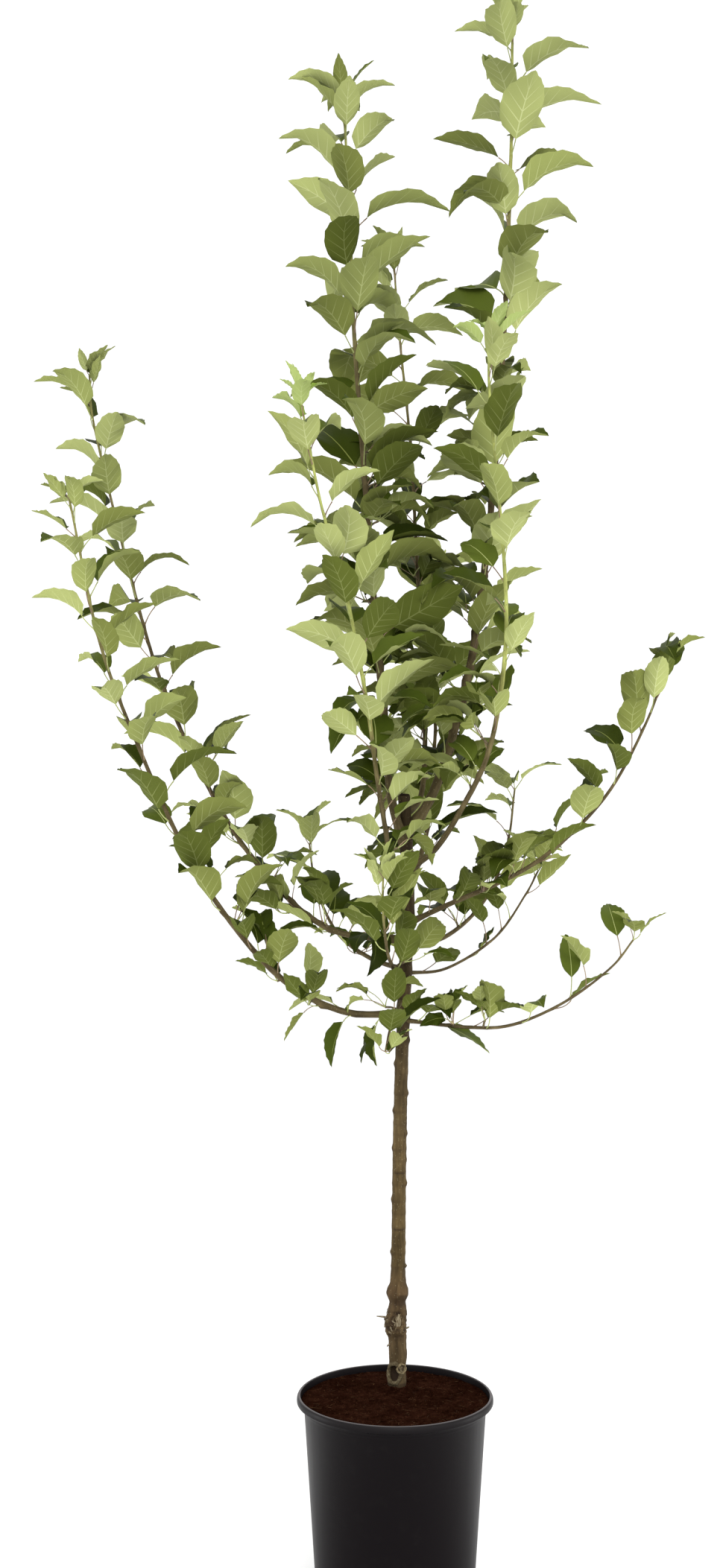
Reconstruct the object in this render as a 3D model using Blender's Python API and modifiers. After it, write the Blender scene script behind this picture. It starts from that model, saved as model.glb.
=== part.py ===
"""Young apple tree in a round nursery pot. Metres, +Z up. The origin is the centre of the pot's flat
underside, +X runs across the tree to its right and +Y runs to its back.

Each limb follows a smooth line through a few points. Its bare stretch is a tapering tube, and its leafy
stretch is a row of uneven foliage masses, which keep clear of the wood and of the other limbs' masses.
"""

import math
from bisect import bisect_right
from collections import namedtuple

import bmesh
import bpy
from mathutils import Vector, kdtree, noise

GAP = 0.0003  # between pieces that touch

# Pot: a turned shell with a rolled rim and drain holes
POT_HEIGHT = 0.280
POT_FOOT_RADIUS = 0.103
POT_TAPER = 0.065  # outer radius gained per metre of height
POT_WALL = 0.002
POT_FLOOR = 0.003
POT_FOOT_ROUND = 0.002
RIM_RADIUS = 0.130
RIM_DEPTH = 0.020
RIM_ROLL = 0.0055  # radius of the roll along the top of the rim
POT_STEPS = 32
DRAIN_HOLES = 6
DRAIN_RADIUS = 0.006
DRAIN_CIRCLE = 0.070

SOIL_LEVEL = 0.273

# Trunk
TRUNK_TOP = 1.072
TRUNK_BASE_RADIUS = 0.0100
TRUNK_TOP_RADIUS = 0.0080
TRUNK_ROUTE = (
    (0.003, 0.045, 0.262),
    (0.005, 0.042, 0.427),
    (0.008, 0.030, 0.669),
    (0.015, 0.020, 0.855),
    (0.018, 0.015, 0.940),
    (0.012, 0.010, TRUNK_TOP),
)
TRUNK_RINGS = 34
# height of the middle, growth in radius, half length
ROOT_FLARE = (SOIL_LEVEL, 0.0035, 0.022)
SUCKER_SCARS = (0.362, 0.0035, 0.022)
GRAFT = (0.406, 0.0042, 0.014)
SWELLINGS = (ROOT_FLARE, SUCKER_SCARS, GRAFT)

# Limbs: radii of the wood at its base and tip, the share of the length that is bare, the foliage's
# radius where it starts and at the tip, the number of masses, and the route from inside the trunk
Limb = namedtuple("Limb", "name base tip bare spread masses route")
LIMBS = (
    Limb("leader_right", 0.0070, 0.0016, 0.09, (0.080, 0.108), 4, (
        (0.016, 0.012, 1.019), (0.050, 0.020, 1.072), (0.081, 0.035, 1.162), (0.108, 0.050, 1.278),
        (0.132, 0.060, 1.466), (0.150, 0.072, 1.700), (0.160, 0.080, 1.955), (0.162, 0.080, 2.130),
    )),
    Limb("leader_left", 0.0065, 0.0015, 0.12, (0.075, 0.104), 4, (
        (0.014, 0.012, 1.000), (-0.005, -0.006, 1.068), (-0.012, -0.004, 1.153), (-0.026, 0.010, 1.306),
        (-0.044, 0.030, 1.548), (-0.055, 0.040, 1.705), (-0.061, 0.050, 1.875), (-0.069, 0.055, 2.010),
    )),
    Limb("leader_middle", 0.0040, 0.0013, 0.12, (0.062, 0.078), 3, (
        (0.015, 0.012, 1.046), (0.037, 0.060, 1.074), (0.043, 0.100, 1.171), (0.036, 0.130, 1.337),
        (0.025, 0.150, 1.555), (0.009, 0.155, 1.719), (0.001, 0.155, 1.825),
    )),
    Limb("bough_near_right", 0.0055, 0.0014, 0.18, (0.050, 0.098), 3, (
        (0.016, 0.014, 0.973), (0.051, -0.020, 0.999), (0.085, -0.060, 1.054), (0.118, -0.100, 1.130),
        (0.135, -0.130, 1.245), (0.133, -0.145, 1.359), (0.114, -0.150, 1.573), (0.117, -0.150, 1.640),
    )),
    Limb("bough_front", 0.0055, 0.0013, 0.22, (0.070, 0.094), 3, (
        (0.015, 0.020, 0.850), (0.004, -0.020, 0.902), (-0.009, -0.050, 0.998), (-0.025, -0.090, 1.097),
        (-0.038, -0.120, 1.190), (-0.067, -0.150, 1.339), (-0.093, -0.165, 1.424), (-0.120, -0.170, 1.560),
    )),
    Limb("bough_low_left", 0.0062, 0.0014, 0.11, (0.062, 0.082), 3, (
        (0.009, 0.025, 0.779), (-0.067, 0.000, 0.785), (-0.142, -0.030, 0.826), (-0.208, -0.060, 0.901),
        (-0.268, -0.080, 0.997), (-0.329, -0.090, 1.135), (-0.378, -0.090, 1.268), (-0.419, -0.070, 1.450),
    )),
    Limb("bough_inner_left", 0.0050, 0.0013, 0.09, (0.066, 0.090), 3, (
        (0.015, 0.020, 0.878), (-0.080, 0.050, 0.888), (-0.151, 0.080, 0.937), (-0.224, 0.100, 1.028),
        (-0.292, 0.115, 1.157), (-0.341, 0.120, 1.287), (-0.410, 0.110, 1.564), (-0.419, 0.100, 1.650),
    )),
    Limb("bough_mid_right", 0.0046, 0.0014, 0.17, (0.060, 0.062), 2, (
        (0.016, 0.018, 0.900), (0.069, 0.000, 0.926), (0.161, -0.020, 0.969), (0.223, -0.030, 1.015),
        (0.281, -0.035, 1.080), (0.329, -0.035, 1.171), (0.353, -0.030, 1.240),
    )),
    Limb("bough_small_right", 0.0028, 0.0012, 0.40, (0.042, 0.040), 1, (
        (0.014, 0.021, 0.834), (0.071, 0.050, 0.838), (0.139, 0.080, 0.878), (0.181, 0.090, 0.936),
        (0.198, 0.095, 0.967),
    )),
    Limb("bough_low_right", 0.0033, 0.0012, 0.13, (0.050, 0.052), 2, (
        (0.010, 0.025, 0.771), (0.097, -0.030, 0.768), (0.153, -0.055, 0.775), (0.219, -0.070, 0.807),
        (0.275, -0.080, 0.851), (0.303, -0.080, 0.886),
    )),
    Limb("bough_back", 0.0052, 0.0014, 0.18, (0.066, 0.086), 2, (
        (0.017, 0.016, 0.936), (0.030, 0.090, 0.965), (0.050, 0.180, 1.030), (0.062, 0.245, 1.140),
        (0.066, 0.275, 1.270), (0.062, 0.285, 1.400),
    )),
    Limb("bough_back_left", 0.0038, 0.0013, 0.30, (0.060, 0.066), 1, (
        (0.014, 0.021, 0.838), (-0.035, 0.085, 0.850), (-0.080, 0.160, 0.880), (-0.110, 0.220, 0.940),
        (-0.120, 0.245, 1.000),
    )),
    Limb("bough_back_right", 0.0038, 0.0013, 0.30, (0.060, 0.066), 1, (
        (0.016, 0.020, 0.868), (0.075, 0.090, 0.880), (0.130, 0.160, 0.925), (0.165, 0.210, 1.000),
        (0.178, 0.235, 1.080),
    )),
    Limb("spur_front", 0.0032, 0.0012, 0.30, (0.055, 0.060), 1, (
        (0.013, 0.022, 0.826), (0.000, -0.045, 0.840), (-0.012, -0.115, 0.875), (-0.018, -0.170, 0.930),
        (-0.018, -0.190, 0.970),
    )),
    Limb("spur_low", 0.0026, 0.0011, 0.30, (0.036, 0.034), 1, (
        (0.010, 0.024, 0.798), (0.002, -0.022, 0.788), (-0.008, -0.062, 0.768), (-0.014, -0.092, 0.745),
    )),
)
LIMB_STEP = 0.022  # between the points of a tube

# Foliage masses
MASS_SIDES = 12
MASS_RINGS = 7
WAIST = 0.60  # radius where two masses of a limb meet, over the full radius
COLLAR = 0.42  # the same where the bare wood enters the first mass
CROWN = 0.78  # the same at the last ring, under the tip
TIP_REACH = 0.050  # from the limb's end to the tip of its last mass
LIFT = 0.55  # how far a leaning limb's foliage shifts to its upper side
LUMPS = ((1.1, 0.46), (2.6, 0.34))  # lumps around a mass, and their height over its radius
FOLIAGE_CLEARANCE = 0.005
WOOD_CLEARANCE = 0.012
LEAST_REACH = 0.012
CUT_STEP = 0.002

BARK = ((0.155, 0.130, 0.075), 0.80)
LEAF_GREENS = ((0.110, 0.165, 0.045), (0.085, 0.140, 0.035), (0.145, 0.195, 0.065))
POT_BLACK = ((0.018, 0.018, 0.019), 0.42)
SOIL_BROWN = ((0.040, 0.017, 0.010), 0.95)


class Course:
    """A smooth line through a route's points, read by the share of its length that has gone."""

    def __init__(self, route, steps=8):
        knots = [Vector(point) for point in route]
        knots = [2 * knots[0] - knots[1], *knots, 2 * knots[-1] - knots[-2]]
        self.points = []
        for a, b, c, d in zip(knots, knots[1:], knots[2:], knots[3:]):
            for step in range(steps):
                t = step / steps
                bend = (2 * a - 5 * b + 4 * c - d) * t**2 + (3 * b - a - 3 * c + d) * t**3
                self.points.append((2 * b + (c - a) * t + bend) / 2)
        self.points.append(knots[-2])
        self.gone = [0.0]
        for a, b in zip(self.points, self.points[1:]):
            self.gone.append(self.gone[-1] + (b - a).length)
        self.length = self.gone[-1]

    def at(self, share):
        target = min(max(share, 0.0), 1.0) * self.length
        i = min(bisect_right(self.gone, target), len(self.gone) - 1) - 1
        part = (target - self.gone[i]) / (self.gone[i + 1] - self.gone[i])
        return self.points[i].lerp(self.points[i + 1], part)

    def heading(self, share, reach=0.012):
        return (self.at(share + reach) - self.at(share - reach)).normalized()


def material(name, colour, roughness):
    made = bpy.data.materials.new(name)
    made.use_nodes = True
    shader = made.node_tree.nodes["Principled BSDF"]
    shader.inputs["Base Color"].default_value = (*colour, 1)
    shader.inputs["Roughness"].default_value = roughness
    shader.inputs["Metallic"].default_value = 0
    made.diffuse_color = (*colour, 1)
    return made


def add_object(name, data, collection, finish=None):
    made = bpy.data.objects.new(name, data)
    if finish:
        data.materials.append(finish)
    collection.objects.link(made)
    return made


def hide_cutter(cutter):
    cutter.hide_render = True
    cutter.display_type = "WIRE"
    return cutter


def cut(target, cutter):
    boolean = target.modifiers.new("cut", "BOOLEAN")
    boolean.operation = "DIFFERENCE"
    boolean.solver = "EXACT"
    boolean.object = cutter


def mesh_of_curve(name, curve, collection, finish):
    """The curve's tube as a mesh object, with its caps welded on."""
    guide = add_object(name, curve, collection)
    bpy.context.view_layer.update()
    mesh = bpy.data.meshes.new_from_object(guide.evaluated_get(bpy.context.evaluated_depsgraph_get()))
    tube = add_object(f"{name}_mesh", mesh, collection, finish)
    tube.matrix_world = guide.matrix_world
    bpy.data.objects.remove(guide)
    tube.name = name
    solid = bmesh.new()
    solid.from_mesh(mesh)
    bmesh.ops.remove_doubles(solid, verts=solid.verts, dist=1e-6)
    bmesh.ops.recalc_face_normals(solid, faces=solid.faces)
    solid.to_mesh(mesh)
    solid.free()
    mesh.shade_smooth()
    mesh.set_sharp_from_angle(angle=math.radians(50))
    return tube


def taper_tube(name, course, last, count, radius_at, sides, collection, finish):
    """A tube along the first share of a course, whose radius follows radius_at."""
    curve = bpy.data.curves.new(name, "CURVE")
    curve.dimensions = "3D"
    curve.bevel_depth = 1.0
    curve.bevel_resolution = sides // 2 - 2
    curve.use_fill_caps = True
    spline = curve.splines.new("POLY")
    spline.points.add(count - 1)
    for i, point in enumerate(spline.points):
        share = last * i / (count - 1)
        point.co = (*course.at(share), 1.0)
        point.radius = radius_at(share)
    return mesh_of_curve(name, curve, collection, finish)


def turned(name, profile, steps, collection, finish):
    """The profile, (radius, height) pairs down the outer side, turned about Z."""
    mesh = bpy.data.meshes.new(name)
    mesh.from_pydata([(radius, 0, height) for radius, height in profile],
                     [(i, i + 1) for i in range(len(profile) - 1)], [])
    made = add_object(name, mesh, collection, finish)
    screw = made.modifiers.new("turn", "SCREW")
    screw.axis = "Z"
    screw.steps = screw.render_steps = steps
    screw.use_merge_vertices = True
    screw.merge_threshold = 0.00005
    return made


def pot_radius(height):
    return POT_FOOT_RADIUS + POT_TAPER * height


def pot_profile():
    """From the middle of the floor, up the inside, over the rolled rim and down the outside."""
    inner_top = pot_radius(POT_HEIGHT) - POT_WALL
    roll_height = POT_HEIGHT - RIM_ROLL
    roll_middle = RIM_RADIUS - RIM_ROLL
    roll = [math.radians(degrees) for degrees in range(90, -1, -30)]
    shoulder = POT_HEIGHT - RIM_DEPTH
    lip = roll_middle + RIM_ROLL * math.cos(math.radians(-30))
    return [
        (0, POT_FLOOR),
        (pot_radius(POT_FLOOR) - POT_WALL, POT_FLOOR),
        (inner_top, roll_height),
        (inner_top + RIM_ROLL * 0.35, POT_HEIGHT - RIM_ROLL * 0.2),
        *((roll_middle + RIM_ROLL * math.cos(a), roll_height + RIM_ROLL * math.sin(a)) for a in roll),
        (lip, roll_height - RIM_ROLL * 0.5),
        (pot_radius(shoulder) + 0.0015, shoulder + RIM_DEPTH * 0.15),
        (pot_radius(shoulder), shoulder),
        (pot_radius(POT_FOOT_ROUND), POT_FOOT_ROUND),
        (POT_FOOT_RADIUS - POT_FOOT_ROUND, 0),
        (0, 0),
    ]


def build_pot(parts, cutters):
    pot = turned("pot", pot_profile(), POT_STEPS, parts, material("pot_plastic", *POT_BLACK))
    holes = bmesh.new()
    for i in range(DRAIN_HOLES):
        turn = 2 * math.pi * (i + 0.5) / DRAIN_HOLES
        middle = Vector((math.cos(turn), math.sin(turn), 0)) * DRAIN_CIRCLE
        made = bmesh.ops.create_cone(holes, cap_ends=True, segments=12, radius1=DRAIN_RADIUS,
                                     radius2=DRAIN_RADIUS, depth=POT_FLOOR * 4)
        bmesh.ops.translate(holes, verts=made["verts"], vec=middle)
    mesh = bpy.data.meshes.new("drain_cutter")
    holes.to_mesh(mesh)
    holes.free()
    cut(pot, hide_cutter(add_object("drain_cutter", mesh, cutters)))


def build_soil(parts):
    """The soil fills the pot up to a flat top, with a small gap to the wall and the floor."""
    low = POT_FLOOR + GAP
    inner = POT_WALL + 2 * GAP
    profile = [(0, SOIL_LEVEL), (pot_radius(SOIL_LEVEL) - inner, SOIL_LEVEL),
               (pot_radius(low) - inner, low), (0, low)]
    turned("soil", profile, POT_STEPS, parts, material("soil", *SOIL_BROWN))


def trunk_radius(height):
    up = (height - SOIL_LEVEL) / (TRUNK_TOP - SOIL_LEVEL)
    radius = TRUNK_BASE_RADIUS + (TRUNK_TOP_RADIUS - TRUNK_BASE_RADIUS) * up
    for middle, growth, half in SWELLINGS:
        radius += growth * math.exp(-(((height - middle) / half) ** 2))
    return radius


def trunk_tube(name, grown, collection, finish=None):
    course = Course(TRUNK_ROUTE)
    trunk = taper_tube(name, course, 1.0, TRUNK_RINGS,
                       lambda share: trunk_radius(course.at(share).z) + grown, 12, collection, finish)
    solid = bmesh.new()
    solid.from_mesh(trunk.data)
    bmesh.ops.bisect_plane(solid, geom=[*solid.verts, *solid.edges, *solid.faces], clear_inner=True,
                           plane_co=(0, 0, SOIL_LEVEL + GAP - grown), plane_no=(0, 0, 1))
    bmesh.ops.holes_fill(solid, edges=[edge for edge in solid.edges if edge.is_boundary])
    bmesh.ops.recalc_face_normals(solid, faces=solid.faces)
    solid.to_mesh(trunk.data)
    solid.free()
    return trunk


def limb_radius(limb, share):
    return limb.base + (limb.tip - limb.base) * share**0.8


def build_bough(limb, course, parts, bark, trunk_cutter):
    count = max(4, round(limb.bare * course.length / LIMB_STEP) + 1)
    bough = taper_tube(limb.name, course, limb.bare - GAP / course.length, count,
                       lambda share: limb_radius(limb, share), 8, parts, bark)
    cut(bough, trunk_cutter)


class Neighbours:
    """What a limb's foliage stays clear of: the other limbs' leafy stretches, and all bare wood but its own."""

    def __init__(self, limb, courses):
        leafy, wood = [], []
        for other, course in courses.items():
            if other is limb:
                continue
            count = int(course.length / 0.008)
            for i in range(count + 1):
                share = i / count
                if share >= other.bare:
                    leafy.append(course.at(share))
                else:
                    wood.append((course.at(share), limb_radius(other, share)))
        trunk = Course(TRUNK_ROUTE)
        for i in range(201):
            point = trunk.at(i / 200)
            wood.append((point, trunk_radius(point.z)))
        self.leafy = self.tree_of(leafy)
        self.wood = self.tree_of([point for point, _ in wood])
        self.wood_radii = [radius for _, radius in wood]

    @staticmethod
    def tree_of(points):
        tree = kdtree.KDTree(len(points))
        for i, point in enumerate(points):
            tree.insert(point, i)
        tree.balance()
        return tree

    def reach(self, middle, away, wanted):
        """The furthest that foliage can reach from the middle of its limb, up to the wanted distance."""
        reach = wanted
        while reach > LEAST_REACH:
            point = middle + away * reach
            _, nearest, to_wood = self.wood.find(point)
            if (self.leafy.find(point)[2] > reach + FOLIAGE_CLEARANCE
                    and to_wood > self.wood_radii[nearest] + WOOD_CLEARANCE):
                break
            reach -= CUT_STEP
        return reach


def swell(part, low, high):
    """A mass's radius along it: low and high at its ends, and 1 in the middle."""
    end = low if part < 0.5 else high
    return end + (1 - end) * math.sin(math.pi * part) ** 0.7


def build_mass(limb, course, number, seed, neighbours, parts, finish):
    """One closed lump of leaves round a stretch of limb, flat where it meets the wood or the next lump."""
    leafy = (1 - limb.bare) / limb.masses
    start = limb.bare + leafy * number + GAP / course.length
    end = limb.bare + leafy * (number + 1) - GAP / course.length
    is_first, is_last = number == 0, number == limb.masses - 1
    low = COLLAR if is_first else WAIST
    high = CROWN if is_last else WAIST
    chord = course.at(1) - course.at(0)
    side = Vector((0, 1, 0)) if abs(chord.y) < abs(chord.x) + abs(chord.z) else Vector((1, 0, 0))
    lump = bmesh.new()
    made = bmesh.ops.create_uvsphere(lump, u_segments=MASS_SIDES, v_segments=MASS_RINGS + 1, radius=1)
    for vertex in made["verts"]:
        ring = round(math.acos(max(-1.0, min(1.0, -vertex.co.z))) / math.pi * (MASS_RINGS + 1))
        part = (min(max(ring, 1), MASS_RINGS) - 1) / (MASS_RINGS - 1)
        share = start + (end - start) * part
        middle, heading = course.at(share), course.heading(share)
        if ring in (0, MASS_RINGS + 1):
            vertex.co = middle + heading * (TIP_REACH if is_last and ring else 0.0)
            continue
        across = heading.cross(side).normalized()
        turn = math.atan2(vertex.co.y, vertex.co.x)
        away = across * math.cos(turn) + heading.cross(across) * math.sin(turn)
        spot = Vector((math.cos(turn), math.sin(turn), 1.6 * part))
        lumps = sum(height * noise.noise(spot * count + Vector((0, 0, 7.3 * seed))) for count, height in LUMPS)
        spread = limb.spread[0] + (limb.spread[1] - limb.spread[0]) * (share - limb.bare) / (1 - limb.bare)
        wanted = spread * swell(part, low, high) * (1 + lumps + LIFT * away.z)
        vertex.co = middle + away * neighbours.reach(middle, away, wanted)
    mesh = bpy.data.meshes.new(limb.name)
    lump.to_mesh(mesh)
    lump.free()
    mesh.shade_smooth()
    add_object(f"foliage_{limb.name.removeprefix('bough_')}_{number + 1}", mesh, parts, finish)


def build_tree(parts, cutters):
    bark = material("bark", *BARK)
    greens = [material(f"foliage_{i + 1}", colour, 0.6) for i, colour in enumerate(LEAF_GREENS)]
    trunk_tube("trunk", 0.0, parts, bark)
    trunk_cutter = hide_cutter(trunk_tube("trunk_cutter", GAP, cutters))
    courses = {limb: Course(limb.route) for limb in LIMBS}
    seed = 0
    for limb, course in courses.items():
        build_bough(limb, course, parts, bark, trunk_cutter)
        neighbours = Neighbours(limb, courses)
        for number in range(limb.masses):
            build_mass(limb, course, number, seed, neighbours, parts, greens[seed % len(greens)])
            seed += 1


def main():
    for old in list(bpy.data.objects):
        bpy.data.objects.remove(old)
    parts = bpy.data.collections.new("apple_tree")
    cutters = bpy.data.collections.new("cutters")
    for collection in (parts, cutters):
        bpy.context.scene.collection.children.link(collection)
    build_pot(parts, cutters)
    build_soil(parts)
    build_tree(parts, cutters)


main()
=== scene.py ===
import math
from bisect import bisect_right
from collections import namedtuple

import bmesh
import bpy
import numpy as np
from mathutils import Matrix, Vector, noise


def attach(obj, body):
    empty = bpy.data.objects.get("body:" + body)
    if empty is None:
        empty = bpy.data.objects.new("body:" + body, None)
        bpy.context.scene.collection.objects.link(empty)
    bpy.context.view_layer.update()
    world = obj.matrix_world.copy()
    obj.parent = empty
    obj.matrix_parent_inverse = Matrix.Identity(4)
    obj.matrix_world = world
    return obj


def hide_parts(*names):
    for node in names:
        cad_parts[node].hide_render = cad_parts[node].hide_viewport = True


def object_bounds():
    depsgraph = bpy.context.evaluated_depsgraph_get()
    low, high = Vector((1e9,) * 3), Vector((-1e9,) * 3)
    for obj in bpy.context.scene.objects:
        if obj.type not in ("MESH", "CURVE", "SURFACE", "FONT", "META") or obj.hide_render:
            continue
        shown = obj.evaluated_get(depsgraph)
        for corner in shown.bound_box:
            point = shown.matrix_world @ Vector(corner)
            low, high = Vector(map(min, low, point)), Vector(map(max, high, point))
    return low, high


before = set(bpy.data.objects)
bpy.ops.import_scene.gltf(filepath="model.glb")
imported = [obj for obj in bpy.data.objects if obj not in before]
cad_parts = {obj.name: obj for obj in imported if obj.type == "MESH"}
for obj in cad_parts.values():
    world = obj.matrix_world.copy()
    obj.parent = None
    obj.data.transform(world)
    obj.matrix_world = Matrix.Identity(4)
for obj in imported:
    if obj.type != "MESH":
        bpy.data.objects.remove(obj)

# Young apple tree in a round nursery pot. Metres, +Z up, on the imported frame: the origin is the centre of
# the pot's flat underside, +X runs to the tree's right and +Y to its back.

cad_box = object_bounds()
UP = Vector((0, 0, 1))
SKY = Vector((0, 0.24, 1)).normalized()  # where the leaves' upper sides turn
FULL_TURN = 2 * math.pi
SEED = 23

# Studio: the camera's lens and rise are for a frame 970 wide and 2105 high
FRAME_HEIGHT = 2105
CAMERA_PLACE = (-0.0443, -2.4, 1.06)
SENSOR = 36
LENS = 2436 / FRAME_HEIGHT * SENSOR
CAMERA_RISE = 26.5 / FRAME_HEIGHT
WORLD_LIGHT = 1.12
LAMPS = (  # name, place, target, width and height, power
    ("key", (0.2, -3.4, 2.5), (0, 0, 1.3), (1.6, 1.8), 70),
    ("fill", (2.4, -2.2, 0.9), (0, 0, 1.2), (1.5, 1.8), 14),
    ("left_strip", (-1.6, 0.1, 0.30), (0, 0, 0.15), (0.7, 0.6), 9),
    ("right_strip", (1.6, 0.1, 0.30), (0, 0, 0.15), (0.7, 0.6), 9),
)

# Pot and soil. The wall and the soil's level are as in the frame
POT_HEIGHT = 0.280
POT_FOOT_RADIUS = 0.103
POT_TAPER = 0.065  # outer radius gained per metre of height
POT_WALL = 0.002
POT_FLOOR = 0.003
POT_CORNER = 0.003  # inside, between the floor and the wall
POT_FOOT_ROUND = 0.002
POT_HOLLOW = (0.008, 0.009, 0.0008)  # under the floor: how far in it starts and ends, and how deep it is
POT_STEPS = 128
RIM_DEPTH = 0.020
LIP_FOOT = 0.2697  # height of the lip's lower edge
COLLAR = 0.1246  # inner radius of the mouth, where the wall flares into the lip
# The wall's flare and the lip's turned-over section: radius, and height under the crest
LIP = (
    (0.1180, 0.0195), (0.1187, 0.0160), (0.1209, 0.0128), (0.1233, 0.0112), (0.1243, 0.0100),
    (COLLAR, 0.0080), (0.1248, 0.0020), (0.1250, 0.0010), (0.1255, 0.0003), (0.1262, 0.0000),
    (0.1270, 0.0002), (0.1279, 0.0008), (0.1287, 0.0018), (0.1293, 0.0032), (0.1297, 0.0050),
    (0.1298, 0.0070), (0.1297, 0.0086), (0.1291, 0.0096), (0.1281, 0.0101), (0.1264, 0.0103),
    (0.1252, 0.0106), (0.1240, 0.0116), (0.1226, 0.0134), (0.1214, 0.0160), (0.1208, 0.0188),
)
# The bead round the pot's foot: height that the wall's radius is taken at, height, how far it stands out
BEAD = ((0.030, 0.030, 0), (0.028, 0.029, 0.0004), (0.026, 0.026, 0.0004), (0.024, 0.024, 0))
DRAIN_HOLES = 6
DRAIN_RADIUS = 0.006
DRAIN_CIRCLE = 0.070
SOIL_LEVEL = 0.273
SOIL_SIDES = 160
SOIL_RINGS = 44
SOIL_GAP = 0.0006  # between the soil and the pot
SOIL_RELIEF = ((0.0022, 38), (0.0014, 110), (0.0009, 260))  # height, and how fine it is
SOIL_MOUND = ((0.0024, 0.030, 2), (0.0030, 0.015, 4))  # round the trunk: height, reach, how sharply it ends
SOIL_EDGE = (0.108, 0.016, 0.0012)  # radius where the soil starts to sink, over what width, and how deep
CRUMBS = 2900
CRUMB_SIZES = (0.0006, 0.0017)  # radius of the smallest, and what the largest has more
CRUMBS_BY_TRUNK = 300
SOIL_FIBRES = 110
FIBRE_RADII = (0.00008, 0.00017, 0.00015, 0.00006)

# Trunk, as in the frame
TRUNK_TOP = 1.072
TRUNK_BASE_RADIUS = 0.0100
TRUNK_TOP_RADIUS = 0.0080
TRUNK_ROUTE = (
    (0.003, 0.045, 0.262), (0.005, 0.042, 0.427), (0.008, 0.030, 0.669),
    (0.015, 0.020, 0.855), (0.018, 0.015, 0.940), (0.012, 0.010, TRUNK_TOP),
)
# height of the middle, growth in radius, half length
SWELLINGS = ((SOIL_LEVEL, 0.0035, 0.022), (0.362, 0.0035, 0.022), (0.406, 0.0042, 0.014))

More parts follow.
